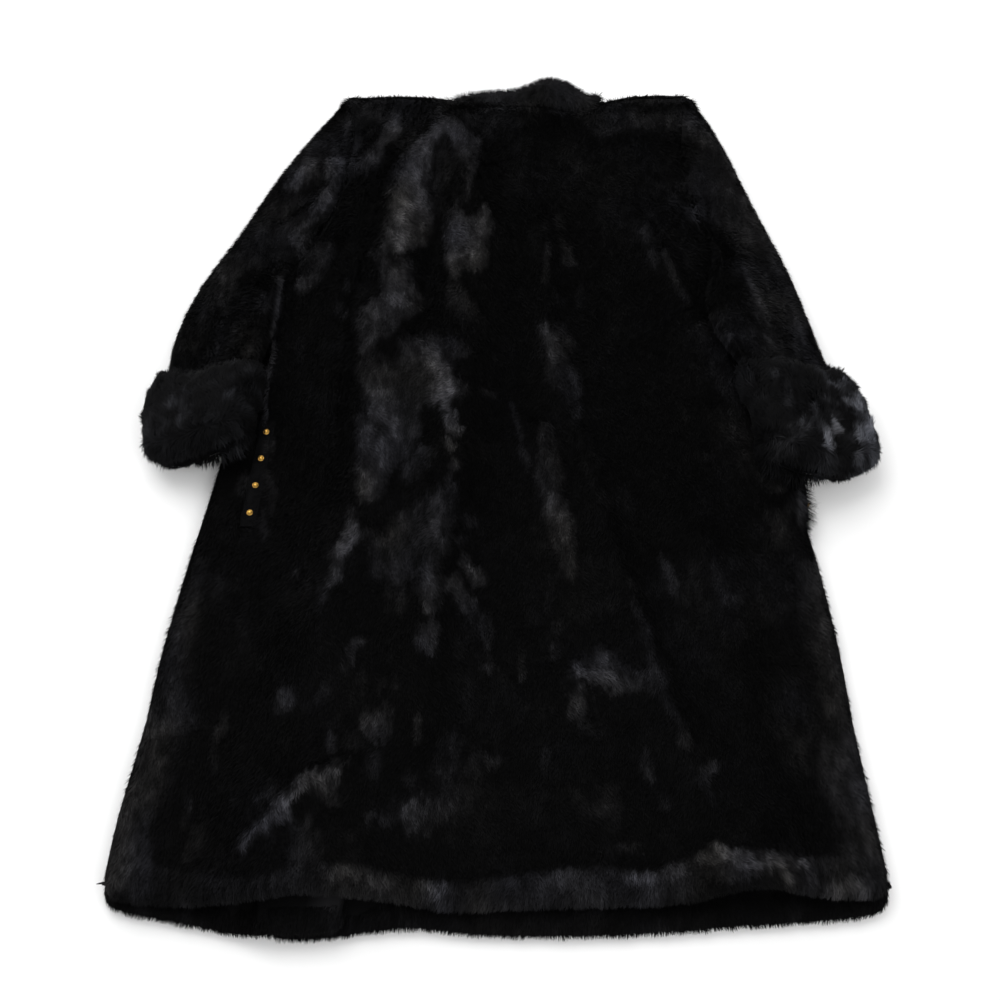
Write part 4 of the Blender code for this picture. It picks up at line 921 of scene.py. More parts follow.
def pile_colour_group() -> bpy.types.NodeTree:
    """Make or find the group that colours a strand of pile, with the highlights painted by its tone and a
    painted shade towards its root.

    Returns:
        The group: dark and light colours and the pile attribute in, a colour out.
    """
    name = "pile_colour"
    if name in bpy.data.node_groups:
        return bpy.data.node_groups[name]
    sketch, given, result = new_group(
        name,
        (("Dark", "NodeSocketColor"), ("Light", "NodeSocketColor"), ("Warm", "NodeSocketColor"),
         ("Pile", "NodeSocketColor"), ("Tint", "NodeSocketFloat"),
         ("Root Shade", "NodeSocketFloat"), ("Strand Spread", "NodeSocketFloat")),
        (("Colour", "NodeSocketColor"),))
    parts = sketch.add("ShaderNodeSeparateColor")
    sketch.link(given.outputs["Pile"], parts.inputs[0])
    light = sketch.mix(given.outputs["Tint"], given.outputs["Light"], given.outputs["Warm"])
    toned = sketch.mix(parts.outputs[1], given.outputs["Dark"], light)
    lit = sketch.math("SUBTRACT", 1.0, given.outputs["Root Shade"])
    along = sketch.math("MULTIPLY", lit, parts.outputs[0])
    along = sketch.math("ADD", along, given.outputs["Root Shade"])
    strand = sketch.math("SUBTRACT", parts.outputs[2], 0.5)
    strand = sketch.math("MULTIPLY", strand, given.outputs["Strand Spread"])
    strand = sketch.math("ADD", strand, 1.0)
    shade = sketch.math("MULTIPLY", along, strand)
    grey = sketch.add("ShaderNodeCombineColor")
    for channel in grey.inputs:
        sketch.link(shade, channel)
    sketch.link(sketch.mix(1.0, toned, grey.outputs[0], "MULTIPLY"), result.inputs["Colour"])
    return sketch.tree


def cloth_grain_group() -> bpy.types.NodeTree:
    """Make or find the group for the fine grain of smooth cloth.

    Returns:
        The group: colour, coordinates and thread size in, a colour and a normal out.
    """
    name = "cloth_grain"
    if name in bpy.data.node_groups:
        return bpy.data.node_groups[name]
    sketch, given, result = new_group(
        name,
        (("Colour", "NodeSocketColor"), ("Place", "NodeSocketVector"),
         ("Threads", "NodeSocketFloat"), ("Depth", "NodeSocketFloat")),
        (("Colour", "NodeSocketColor"), ("Normal", "NodeSocketVector")))
    wefts = sketch.add("ShaderNodeTexWave", wave_type="BANDS", bands_direction="DIAGONAL")
    blotch = sketch.add("ShaderNodeTexNoise")
    set_inputs(blotch, {"Scale": 38.0})
    set_inputs(wefts, {"Distortion": 1.5})
    for texture in (wefts, blotch):
        sketch.link(given.outputs["Place"], texture.inputs["Vector"])
    sketch.link(given.outputs["Threads"], wefts.inputs["Scale"])
    shade = sketch.math("MULTIPLY", blotch.outputs[0], 0.7)
    shade = sketch.math("ADD", shade, 0.65)
    grey = sketch.add("ShaderNodeCombineColor")
    for channel in grey.inputs:
        sketch.link(shade, channel)
    sketch.link(sketch.mix(1.0, given.outputs["Colour"], grey.outputs[0], "MULTIPLY"),
                result.inputs["Colour"])
    bump = sketch.add("ShaderNodeBump")
    set_inputs(bump, {"Distance": 0.0004})
    sketch.link(given.outputs["Depth"], bump.inputs["Strength"])
    sketch.link(wefts.outputs[1], bump.inputs["Height"])
    sketch.link(bump.outputs[0], result.inputs["Normal"])
    return sketch.tree


def empty_material(name: str) -> tuple[bpy.types.Material, NodeSketch, bpy.types.Node]:
    """Make a material with a Principled shader.

    Args:
        name: The material's name.

    Returns:
        The material, the sketch of its tree and its shader node.
    """
    material = bpy.data.materials.new(name)
    material.use_nodes = True
    return material, NodeSketch(material.node_tree), material.node_tree.nodes["Principled BSDF"]


@dataclass(frozen=True)
class FurFinish:
    """The look of the pile: its dark colour, the cool and warm colours of the highlights painted on it, and
    how it takes light.
    """

    name: str
    dark: tuple[float, float, float, float]
    light: tuple[float, float, float, float]
    warm: tuple[float, float, float, float]
    roughness: float = 0.60
    specular: float = 0.035
    sheen: float = 0.012
    # the share of its colour that a strand keeps at its root, under painted shade
    root_shade: float = 0.45
    strand_spread: float = 0.8

    def material(self) -> bpy.types.Material:
        """Make the material, or find it if it is made already."""
        if self.name in bpy.data.materials:
            return bpy.data.materials[self.name]
        material, sketch, shader = empty_material(self.name)
        pile = sketch.add("ShaderNodeAttribute", attribute_name=PILE_ATTRIBUTE)
        colour = sketch.add("ShaderNodeGroup", node_tree=pile_colour_group())
        set_inputs(colour, {"Dark": self.dark, "Light": self.light, "Warm": self.warm,
                            "Root Shade": self.root_shade, "Strand Spread": self.strand_spread})
        sketch.link(pile.outputs["Color"], colour.inputs["Pile"])
        sketch.link(pile.outputs["Alpha"], colour.inputs["Tint"])
        sketch.link(colour.outputs["Colour"], shader.inputs["Base Color"])
        set_inputs(shader, {"Roughness": self.roughness, "Specular IOR Level": self.specular,
                            "Sheen Weight": self.sheen, "Sheen Roughness": 0.45})
        return material


@dataclass(frozen=True)
class ClothFinish:
    """The look of a smooth woven cloth."""

    name: str
    colour: tuple[float, float, float, float]
    threads: float
    depth: float
    roughness: float
    sheen: float
    specular: float = 0.30
    # the colour of the highlights painted where the shine attribute says
    shine: tuple[float, float, float, float] | None = None

    def material(self) -> bpy.types.Material:
        """Make the material, or find it if it is made already."""
        if self.name in bpy.data.materials:
            return bpy.data.materials[self.name]
        material, sketch, shader = empty_material(self.name)
        place = sketch.add("ShaderNodeTexCoord")
        grain = sketch.add("ShaderNodeGroup", node_tree=cloth_grain_group())
        set_inputs(grain, {"Colour": self.colour, "Threads": self.threads, "Depth": self.depth})
        if self.shine:
            marks = sketch.add("ShaderNodeAttribute", attribute_name=SHINE_ATTRIBUTE)
            sketch.link(sketch.mix(marks.outputs["Fac"], self.colour, self.shine),
                        grain.inputs["Colour"])
        sketch.link(place.outputs["Object"], grain.inputs["Place"])
        sketch.link(grain.outputs["Colour"], shader.inputs["Base Color"])
        sketch.link(grain.outputs["Normal"], shader.inputs["Normal"])
        set_inputs(shader, {"Roughness": self.roughness, "Specular IOR Level": self.specular,
                            "Sheen Weight": self.sheen})
        return material


@dataclass(frozen=True)
class MetalFinish:
    """The look of the gold-tone studs."""

    name: str
    colour: tuple[float, float, float, float]
    # a darker gold, mixed in by a speckle and painted to stand in for the dark fur that the domes reflect
    dull: tuple[float, float, float, float]

    def material(self) -> bpy.types.Material:
        """Make the material, or find it if it is made already."""
        if self.name in bpy.data.materials:
            return bpy.data.materials[self.name]
        material, sketch, shader = empty_material(self.name)
        place = sketch.add("ShaderNodeTexCoord")
        # A speckle mixes in the darker gold, a painted dark reflection of the fur round the domes, and
        # varies the roughness.
        speckle_and_dark_reflection = sketch.add("ShaderNodeTexNoise")
        set_inputs(speckle_and_dark_reflection, {"Scale": 900.0})
        sketch.link(place.outputs["Object"], speckle_and_dark_reflection.inputs["Vector"])
        sketch.link(sketch.mix(speckle_and_dark_reflection.outputs[0], self.colour, self.dull),
                    shader.inputs["Base Color"])
        rough = sketch.math("MULTIPLY", speckle_and_dark_reflection.outputs[0], 0.3)
        sketch.link(sketch.math("ADD", rough, 0.12), shader.inputs["Roughness"])
        set_inputs(shader, {"Metallic": 1.0})
        return material


BODY_FUR = FurFinish("body_fur", dark=(0.0017, 0.0017, 0.0018, 1.0),
                     light=(0.140, 0.142, 0.172, 1.0), warm=(0.146, 0.140, 0.134, 1.0))
CUFF_FUR = FurFinish("cuff_fur", dark=(0.0030, 0.0030, 0.0033, 1.0),
                     light=(0.170, 0.180, 0.215, 1.0), warm=(0.130, 0.130, 0.140, 1.0),
                     strand_spread=0.7)
SATIN = ClothFinish("lining_satin", (0.0090, 0.0090, 0.0100, 1.0), threads=900.0, depth=0.15,
                    roughness=0.45, sheen=0.0, specular=0.15, shine=(0.110, 0.104, 0.100, 1.0))
WELT_CLOTH = ClothFinish("welt_cloth", (0.0034, 0.0034, 0.0037, 1.0), threads=500.0, depth=0.4,
                         roughness=0.75, sheen=0.0, specular=0.02)
STITCHES = ClothFinish("welt_stitches", (0.0022, 0.0022, 0.0025, 1.0), threads=700.0, depth=0.3,
                       roughness=0.6, sheen=0.0, specular=0.02)
GOLD = MetalFinish("stud_gold", (0.80, 0.47, 0.11, 1.0), (0.50, 0.27, 0.06, 1.0))


# ------------------------------------------------------------------ meshes
def merged_copy(node: str) -> bmesh.types.BMesh:
    """Copy a CAD node's mesh, with its points merged and its triangles paired to quads.

    Args:
        node: The node's name.

    Returns:
        The copy.
    """
    copy = bmesh.new()
    copy.from_mesh(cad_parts[node].data)
    bmesh.ops.remove_doubles(copy, verts=copy.verts[:], dist=0.00001)
    bmesh.ops.join_triangles(copy, faces=copy.faces[:], angle_face_threshold=math.radians(60),
                             angle_shape_threshold=math.radians(60))
    bmesh.ops.recalc_face_normals(copy, faces=copy.faces[:])
    return copy


def cad_tree(node: str) -> BVHTree:
    """Make a search tree of a CAD node's faces.

    Args:
        node: The node's name.

    Returns:
        The tree.
    """
    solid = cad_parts[node].data
    return BVHTree.FromPolygons([vert.co for vert in solid.vertices],
                                [tuple(face.vertices) for face in solid.polygons])


def finish_mesh(name: str, shape: bmesh.types.BMesh,
                material: bpy.types.Material) -> bpy.types.Object:
    """Turn a bmesh into a smooth, dressed object.

    Args:
        name: The object's name.
        shape: The bmesh, which is freed.
        material: Its material.

    Returns:
        The object, at the origin.
    """
    mesh = bpy.data.meshes.new(name)
    shape.to_mesh(mesh)
    shape.free()
    mesh.shade_smooth()
    mesh.materials.append(material)
    piece = bpy.data.objects.new(name, mesh)
    bpy.context.scene.collection.objects.link(piece)
    return piece


def subdivided(shape: bmesh.types.BMesh, levels: int) -> bmesh.types.BMesh:
    """Subdivide a shape smoothly.

    Args:
        shape: The shape, which is freed.
        levels: How many times.

    Returns:
        The finer shape.
    """
    cage_mesh = bpy.data.meshes.new("cage")
    shape.to_mesh(cage_mesh)
    shape.free()
    cage = bpy.data.objects.new("cage", cage_mesh)
    bpy.context.scene.collection.objects.link(cage)
    smooth = cage.modifiers.new("Smooth", "SUBSURF")
    smooth.levels = levels
    smooth.render_levels = levels
    graph = bpy.context.evaluated_depsgraph_get()
    fine_mesh = bpy.data.meshes.new_from_object(cage.evaluated_get(graph))
    fine = bmesh.new()
    fine.from_mesh(fine_mesh)
    bpy.data.objects.remove(cage)
    bpy.data.meshes.remove(cage_mesh)
    bpy.data.meshes.remove(fine_mesh)
    return fine


def set_pile_attribute(mesh: bpy.types.Mesh, values: np.ndarray) -> None:
    """Store root to tip, tone, strand and tint on each point of a mesh."""
    stored = mesh.attributes.new(PILE_ATTRIBUTE, "FLOAT_COLOR", "POINT")
    stored.data.foreach_set("color", values.astype(np.float32).ravel())


@dataclass(frozen=True)
class BladeStyle:
    """The shape of one strand of pile and how far strands differ."""

    length: float = 0.0092
    width: float = 0.0010
    root_lift: float = math.radians(40.0)
    tip_lift: float = math.radians(40.0)
    edge_lift: float = 0.30
    bend: float = 0.0
    twist: float = math.radians(40.0)
    stray: float = math.radians(8.0)
    clump: float = 0.0011
    spread: float = 0.20

    @property
    def bent(self) -> bool:
        """Whether a strand has a bend, and so four corners and not three."""
        return self.bend > 0.0


@dataclass
class Roots:
    """Where strands grow: places, directions and tones, one row each."""

    places: np.ndarray
    normals: np.ndarray
    naps: np.ndarray
    tones: np.ndarray
    lengths: np.ndarray

    def pick(self, chosen: np.ndarray) -> "Roots":
        """Take the rows that a mask chooses."""
        return Roots(self.places[chosen], self.normals[chosen], self.naps[chosen],
                     self.tones[chosen], self.lengths[chosen])


SEEN_SHARE = 0.55                                      # where on a strand its light is read
STRAIGHT_BLADE = np.array(((0, 1, 2),))                # corners: two at the root, then the tip
BENT_BLADE = np.array(((0, 1, 2), (1, 3, 2)))          # corners: root, right, left, tip


def blade_corners(roots: Roots, style: BladeStyle, rng: np.random.Generator) -> np.ndarray:
    """Find the corners of a blade at every root.

    Args:
        roots: Where and how the strands grow.
        style: The strands' shape.
        rng: The source of their small differences.

    Returns:
        An array of blades, corners and coordinates.
    """
    count = len(roots.places)
    stray = rng.normal(0.0, style.stray, count)[:, None]
    side = unit(np.cross(roots.normals, roots.naps))
    naps = roots.naps * np.cos(stray) + side * np.sin(stray)
    side = unit(np.cross(roots.normals, naps))
    flatter = style.edge_lift + (1 - style.edge_lift) * np.clip(roots.normals[:, 2], 0.0, 1.0)
    noise = rng.normal(0.0, math.radians(7.0), count)
    root_lift = (flatter * (style.root_lift + noise))[:, None]
    tip_lift = (flatter * (style.tip_lift + noise))[:, None]
    first = naps * np.cos(root_lift) + roots.normals * np.sin(root_lift)
    last = naps * np.cos(tip_lift) + roots.normals * np.sin(tip_lift)
    twist = rng.uniform(-style.twist, style.twist, count)[:, None]
    across = side * np.cos(twist) + np.cross(first, side) * np.sin(twist)
    length = (roots.lengths * rng.uniform(1.0 - style.spread, 1.0, count))[:, None]
    across *= (0.5 * style.width * rng.uniform(0.7, 1.3, count))[:, None]
    middle = roots.places + first * length * style.bend
    tip = middle + last * length * (1.0 - style.bend)
    tip[:, 0] += style.clump * CLUMP_ACROSS.at(roots.places)
    tip[:, 1] += style.clump * CLUMP_ALONG.at(roots.places)
    if style.bent:
        corners = np.stack((roots.places, middle + across, middle - across, tip), axis=1)
    else:
        corners = np.stack((middle + across, middle - across, tip), axis=1)
    corners[:, :, 2] = np.maximum(corners[:, :, 2], 0.0003)
    return corners


def grow_pile(name: str, roots: Roots, style: BladeStyle, finish: FurFinish,
              seed: int) -> bpy.types.Object:
    """Join a blade at every root into one mesh.

    Args:
        name: The piece's name.
        roots: Where and how the strands grow.
        style: The strands' shape.
        finish: Their colours.
        seed: The seed of their small differences.

    Returns:
        The pile as one object.
    """
    rng = np.random.default_rng(seed)
    corners = blade_corners(roots, style, rng)
    count, points = corners.shape[:2]
    faces = BENT_BLADE if style.bent else STRAIGHT_BLADE
    top = corners[:, faces[-1]]
    face_normals = unit(np.cross(top[:, 1] - top[:, 0], top[:, 2] - top[:, 0]))
    if (face_normals * roots.normals).sum() < 0.0:
        faces, face_normals = faces[:, ::-1], -face_normals
    mesh = bpy.data.meshes.new(name)
    mesh.vertices.add(points * count)
    mesh.vertices.foreach_set("co", corners.astype(np.float32).ravel())
    numbers = (faces[None] + points * np.arange(count)[:, None, None]).reshape(-1)
    mesh.loops.add(len(numbers))
    mesh.loops.foreach_set("vertex_index", numbers.astype(np.int32))
    mesh.polygons.add(len(faces) * count)
    mesh.polygons.foreach_set("loop_start", np.arange(0, len(numbers), 3, dtype=np.int32))
    mesh.update(calc_edges=True)
    mesh.shade_smooth()
    lit = unit(face_normals * 0.30 + roots.normals * 0.70)
    mesh.normals_split_custom_set_from_vertices(np.repeat(lit, points, axis=0).tolist())
    values = np.empty((count, points, 4))
    values[:, :, 0] = (0.0, style.bend, style.bend, 1.0) if style.bent else (0.0, 0.0, 1.0)
    values[:, :, 1] = roots.tones[:, None]
    values[:, :, 2] = rng.uniform(0.0, 1.0, count)[:, None]
    values[:, :, 3] = 0.5 + 0.5 * TINTS.at(roots.places)[:, None]
    set_pile_attribute(mesh, values.reshape(-1, 4))
    mesh.materials.append(finish.material())
    pile = bpy.data.objects.new(name, mesh)
    bpy.context.scene.collection.objects.link(pile)
    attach(pile, ROOT_BODY)
    return pile


# ------------------------------------------------------------------ fur panels
@dataclass
class FurPanel:
    """A piece of fur cloth: a skin inside its CAD solid and the pile that grows on it."""

    node: str
    cut: tuple[float, float]
    rests_on: tuple[str, ...]
    seed: int
    density: float
    finish: FurFinish = BODY_FUR
    style: BladeStyle = BladeStyle()
    levels: int = 2
    inset: float = 0.0062
    settle_rounds: int = 6
    closed_reach: float = 0.060
    lowest_normal: float = -0.30
    flank_length: float = 0.55
    contrast: float = 1.0
    marks: tuple[Stroke | Patch | Field, ...] = ()
    creases: tuple[Stroke, ...] = ()
    bands: tuple[float, ...] = ()
    sewn_to: tuple[str, ...] = ()
    pieces: list[bpy.types.Object] = field(default_factory=list)

    def nap(self, places: np.ndarray) -> np.ndarray:
        """The way the pile lies before it is brushed, as directions over the coat."""
        fan = 0.35 * places[:, 0]
        return np.stack((fan, -np.ones(len(places)), np.zeros(len(places))), axis=1)

    def shown(self, places: np.ndarray, normals: np.ndarray) -> np.ndarray:
        """How much of the full pile grows at each place, from 0 to 1."""
        return np.ones(len(places))

    def base_tone(self, places: np.ndarray) -> np.ndarray:
        """How light the pile is without its marks of painted light: a dark tone that varies at random."""
        return 0.005 + 0.011 * np.clip(CLOUDS.at(places) + 0.5 * CLUMPS.at(places), 0.0, 1.0)

    def lengths(self, places: np.ndarray, outward: np.ndarray) -> np.ndarray:
        """How long the pile is at each place: longer beside the right pocket, which it hides."""
        low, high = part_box("pocket_welt_right")
        away = np.linalg.norm(places - np.clip(places, low, high), axis=1)
        return self.style.length * (1.0 + 0.8 * ease(1.0 - away / WELT_COVER))

    def depth_share(self, places: np.ndarray) -> np.ndarray:
        """How much of the pile's depth the skin is drawn in by, from 0 to 1."""
        return np.ones(len(places))

    def painted_light_and_brushing(self, places: np.ndarray) -> tuple[np.ndarray, np.ndarray]:
        """How much light the marks paint into the pile's colour at each place.

        Args:
            places: Places on the coat.

        Returns:
            The strongest painted highlight there, and how much of its light the painted shade of the deepest
            hollow takes away.
        """
        lightest = np.zeros(len(places))
        hollow = np.zeros(len(places))
        moved = ragged(places)
        steady = places + THIN_SHARE * (moved - places)
        for mark in self.marks:
            is_thin = isinstance(mark, Stroke) and max(mark.left, mark.right) < THIN_STROKE
            share = mark_light(mark, steady if is_thin else moved)
            lightest = np.maximum(lightest, share)
            hollow = np.maximum(hollow, -share)
        return lightest, hollow

    def tone(self, places: np.ndarray) -> np.ndarray:
        """How light the pile is at each place, with its painted highlights and shade, and its streaks and
        tufts.
        """
        lightest, hollow = self.painted_light_and_brushing(places)
        lit = (self.base_tone(places) + lightest) * (1.0 - hollow)
        mottle = 0.40 * STREAKS.at(places) + 0.55 * TUFTS.at(places) + 0.50 * CLUMPS.at(places)
        return np.clip(lit * np.exp(self.contrast * mottle), 0.0, 1.0)

    def crease_height(self, places: np.ndarray) -> np.ndarray:
        """How far the creases' ridges and hollows move the cloth up."""
        height = np.zeros(len(places))
        for crease in self.creases:
            wider = crease._replace(left=crease.left + 6, right=crease.right + 4)
            height += crease.height * MM * stroke_share(wider, places)
        return height

    def seam_freedom(self, places: np.ndarray) -> np.ndarray:
        """How far the skin may be drawn in: 0 at a seam, so that no gap opens, and 1 away from it.

        Args:
            places: Points of the panel.

        Returns:
            A share from 0 to 1 for each point.
        """
        freedom = np.ones(len(places))
        for neighbour in map(cad_tree, self.sewn_to):
            for number, place in enumerate(places):
                distance = neighbour.find_nearest(Vector(place), SEAM_REACH)[3]
                if distance is not None:
                    share = (distance - SEAM_TOUCH) / (SEAM_REACH - SEAM_TOUCH)
                    freedom[number] = min(freedom[number], max(share, 0.0))
        return freedom

    def closed_seams(self, places: np.ndarray, normals: np.ndarray,
                     freedom: np.ndarray) -> np.ndarray:
        """Move the rims at a seam out to the solid's side and on to the next piece.

        Args:
            places: Points of the panel.
            normals: The way each faces.
            freedom: How far the skin may be drawn in at each.

        Returns:
            The points, with no gap along the seams.
        """
        closed = places.copy()
        own = cad_tree(self.node)
        neighbours = [cad_tree(node) for node in self.sewn_to]
        sideways = np.hypot(normals[:, 0], normals[:, 1])
        for number in np.flatnonzero((freedom < 1.0) & (sideways > SEAM_FACING)):
            away = Vector((normals[number, 0], normals[number, 1], 0.0)).normalized()
            place = Vector(places[number])
            reach = own.ray_cast(place, away, SEAM_REACH)[3] or 0.0
            steps = [tree.ray_cast(place + away * reach, away, SEAM_GAP)[3] for tree in neighbours]
            reach += min((step for step in steps if step is not None), default=0.0)
            closed[number] += np.array(away) * reach * (1.0 - freedom[number])
        return closed

    def build_skin(self) -> tuple[bpy.types.Object, np.ndarray, np.ndarray]:
        """Make the skin from the CAD solid and move it in by the depth of the pile.

        Returns:
            The skin, whether the pile can grow at each of its points, and how near each is to a
            seam, from 0 to 1.
        """
        shape = subdivided(merged_copy(self.node), self.levels)
        for _ in range(self.settle_rounds):
            bmesh.ops.smooth_vert(shape, verts=shape.verts[:], factor=0.5, use_axis_z=True)
        shape.normal_update()
        tree = BVHTree.FromBMesh(shape)
        shape.verts.ensure_lookup_table()
        normals = np.array([vert.normal for vert in shape.verts])
        places = np.array([vert.co for vert in shape.verts])
        is_open = np.ones(len(places), bool)
        moves = np.zeros(len(places))
        for number, vert in enumerate(shape.verts):
            outward = vert.normal
            hit = tree.ray_cast(vert.co + outward * RAY_START, outward, self.closed_reach)
            if hit[0] is not None:
                is_open[number] = False
                continue
            back = tree.ray_cast(vert.co - outward * RAY_START, -outward, THICKEST_WALL)
            wall = THICKEST_WALL if back[0] is None else back[3] + RAY_START
            moves[number] = min(self.inset, WALL_SHARE * wall)
        moves *= np.clip((normals[:, 2] + 0.75) / 0.50, 0.04, 1.0)
        freedom = self.seam_freedom(places)
        inward = normals * moves[:, None] * self.depth_share(places)[:, None]
        inward[:, :2] *= freedom[:, None]
        places = self.closed_seams(places, normals, freedom) - inward
        places[:, 2] += self.crease_height(places) * np.clip(normals[:, 2], 0.0, 1.0)
        for vert, place in zip(shape.verts, places):
            vert.co = place
        skin = finish_mesh(self.node + "_skin", shape, self.finish.material())
        # The skin takes the colour near a strand's root: a painted shade that darkens the gaps between
        # strands.
        values = np.stack((np.full(len(places), 0.3), self.tone(places),
                           np.full(len(places), 0.5), 0.5 + 0.5 * TINTS.at(places)), axis=1)
        set_pile_attribute(skin.data, values)
        return skin, is_open, 1.0 - freedom

    def find_roots(self, skin: bpy.types.Object, is_open: np.ndarray,
                   seams: np.ndarray) -> Roots:
        """Scatter the roots of the pile over the open part of the skin.

        Args:
            skin: The skin.
            is_open: Whether the pile can grow at each of its points.
            seams: How near each of its points is to a seam.

        Returns:
            The roots.
        """
        rng = np.random.default_rng(self.seed)
        mesh = skin.data
        mesh.calc_loop_triangles()
        flat = np.empty(3 * len(mesh.vertices))
        mesh.vertices.foreach_get("co", flat)
        places = flat.reshape(-1, 3).copy()
        mesh.vertices.foreach_get("normal", flat)
        normals = flat.reshape(-1, 3).copy()
        triangles = np.empty(3 * len(mesh.loop_triangles), np.int32)
        mesh.loop_triangles.foreach_get("vertices", triangles)
        triangles = triangles.reshape(-1, 3)
        keep = is_open[triangles].all(axis=1)
        keep &= normals[triangles][:, :, 2].mean(axis=1) > self.lowest_normal
        triangles = triangles[keep]
        corners = places[triangles]
        areas = np.linalg.norm(np.cross(corners[:, 1] - corners[:, 0],
                                        corners[:, 2] - corners[:, 0]), axis=1) / 2
        middles = corners.mean(axis=1)
        weights = areas * self.shown(middles, unit(normals[triangles].mean(axis=1)))
        count = int(weights.sum() * self.density * 1e6)
        ladder = np.cumsum(weights) / weights.sum()
        steps = (np.arange(count) + rng.uniform(0.0, 1.0, count)) / count
        chosen = np.minimum(np.searchsorted(ladder, steps), len(triangles) - 1)
        first, second = rng.uniform(0.0, 1.0, (2, count))
        folded = first + second > 1.0
        first, second = np.where(folded, 1 - first, first), np.where(folded, 1 - second, second)
        shares = np.stack((1 - first - second, first, second), axis=1)[:, :, None]
        spots = (corners[chosen] * shares).sum(axis=1)
        outward = unit((normals[triangles[chosen]] * shares).sum(axis=1))
        seam = (seams[triangles[chosen]] * shares[:, :, 0]).sum(axis=1)
        across = outward * (1.0, 1.0, 0.0) * seam[:, None]
        across -= (across * outward).sum(axis=1)[:, None] * outward
        naps = unit(self.laid_naps(spots, outward) + SEAM_LEAN * across)
        lengths = self.lengths(spots, outward) * (1.0 + 0.12 * TUFTS.at(spots))
        lengths *= self.flank_length + (1.0 - self.flank_length) * np.clip(outward[:, 2], 0.0, 1.0)
        lengths *= 1.0 + SEAM_GROWTH * seam
        seen = spots + naps * (SEEN_SHARE * lengths)[:, None]
        return Roots(spots, outward, naps, self.tone(seen), lengths)

    def laid_naps(self, spots: np.ndarray, outward: np.ndarray) -> np.ndarray:
        """Turn the nap at each root, more where highlights are painted, and by swirls, and lay it along the
        skin.

        Args:
            spots: The roots.
            outward: The skin's normals there.

        Returns:
            Directions along the skin, of length 1.
        """
        naps = unit(self.nap(spots))
        turn = np.radians(22.0) * SWIRLS.at(spots) + np.radians(16.0) * WAVES.at(spots)
        brushed = np.clip(self.painted_light_and_brushing(spots)[0] / GLARE, 0.0, 1.0)
        turn += np.radians(40.0) * brushed * self.turn_side(spots)
        cosine, sine = np.cos(turn), np.sin(turn)
        turned = np.stack((naps[:, 0] * cosine - naps[:, 1] * sine,
                           naps[:, 0] * sine + naps[:, 1] * cosine,
                           -0.55 * (1.0 - np.clip(outward[:, 2], 0.0, 1.0))), axis=1)
        turned += 0.35 * outward * (1.0 - np.clip(outward[:, 2], 0.0, 1.0))[:, None]
        return unit(turned - (turned * outward).sum(axis=1)[:, None] * outward)

    def turn_side(self, spots: np.ndarray) -> np.ndarray:
        """Which way the brushed pile is turned: 1 to the left, -1 to the right."""
        return np.where(WAVES.at(spots[:, ::-1]) > -0.2, 1.0, -1.0)

    def build(self) -> None:
        """Build the skin and its pile, and attach them to the root body."""
        skin, is_open, seams = self.build_skin()
        roots = self.find_roots(skin, is_open, seams)
        limits = (-np.inf, *self.bands, np.inf)
        piles = []
        for number, (low, high) in enumerate(zip(limits[:-1], limits[1:])):
            inside = (roots.places[:, 1] >= low) & (roots.places[:, 1] < high)
            name = f"{self.node}_pile" if not self.bands else f"{self.node}_pile_{number + 1}"
            piles.append(grow_pile(name, roots.pick(inside), self.style, self.finish,
                                   self.seed + 50 + number))
        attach(skin, ROOT_BODY)
        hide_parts(self.node)
        self.pieces = [skin, *piles]


@dataclass
class BackPanel(FurPanel):
    """The back, with its fuller hem, lighter by a painted sheen, and the bed of the left pocket's strip."""

    strip_top: tuple[float, float] = (-0.2875, 0.044)
    strip_foot: tuple[float, float] = (-0.3045, -0.094)
    strip_half: float = 0.0048

    def to_strip(self, places: np.ndarray) -> np.ndarray:
        """The way over the coat from each place to the middle line of the left pocket's strip."""
        return -from_line(places[:, :2], *np.array((self.strip_top, self.strip_foot)))

    def from_strip(self, places: np.ndarray) -> np.ndarray:
        """How far each place is from the middle line of the left pocket's strip."""
        return np.linalg.norm(self.to_strip(places), axis=1)

    def by_strip(self, places: np.ndarray) -> np.ndarray:
        """How near each place is to the strip, from 0 to 1."""
        return ease(2.0 - self.from_strip(places) / STRIP_BED)

    def depth_share(self, places: np.ndarray) -> np.ndarray:
        """The skin comes up to the strip, so that the pile beside it laps over its edges."""
        return np.clip((self.from_strip(places) - 0.6 * STRIP_BED) / STRIP_BED, 0.20, 1.0)

    def shown(self, places: np.ndarray, normals: np.ndarray) -> np.ndarray:
        """No pile grows under the strip."""
        return np.where(self.from_strip(places) > self.strip_half, 1.0, 0.0)

    def hem_share(self, places: np.ndarray) -> np.ndarray:
        """How far into the hem band a place is, from 0 above it to 1 inside it."""
        top = read_line(HEM_BAND_TOP, places[:, 0])
        return ease((top + 0.004 - places[:, 1]) / 0.010)

    def base_tone(self, places: np.ndarray) -> np.ndarray:
        """How light the pile is without its marks: dark above, and lighter by a painted sheen in the hem
        band.
        """
        top = read_line(HEM_BAND_TOP, places[:, 0])
        low_edge = ease((places[:, 1] - (top - 0.046)) / 0.014)
        band = read_line(HEM_BAND_TONE, places[:, 0]) * self.hem_share(places) * low_edge
        return super().base_tone(places) + band

    def lengths(self, places: np.ndarray, outward: np.ndarray) -> np.ndarray:
        """How long the pile is: longer in the hem band and beside the pocket's strip."""
        longer = 1.0 + 0.15 * self.hem_share(places) + STRIP_GROWTH * self.by_strip(places)
        corner = (places[:, 0] < HEM_CORNERS[0]) | (places[:, 0] > HEM_CORNERS[1])
        return super().lengths(places, outward) * longer * np.where(corner, 0.5, 1.0)

    def laid_naps(self, spots: np.ndarray, outward: np.ndarray) -> np.ndarray:
        """Beside the strip the pile leans over its edges."""
        naps = super().laid_naps(spots, outward)
        lean = self.to_strip(spots) / np.maximum(self.from_strip(spots), MM)[:, None]
        naps[:, :2] += STRIP_LEAN * self.by_strip(spots)[:, None] * lean
        return unit(naps - (naps * outward).sum(axis=1)[:, None] * outward)


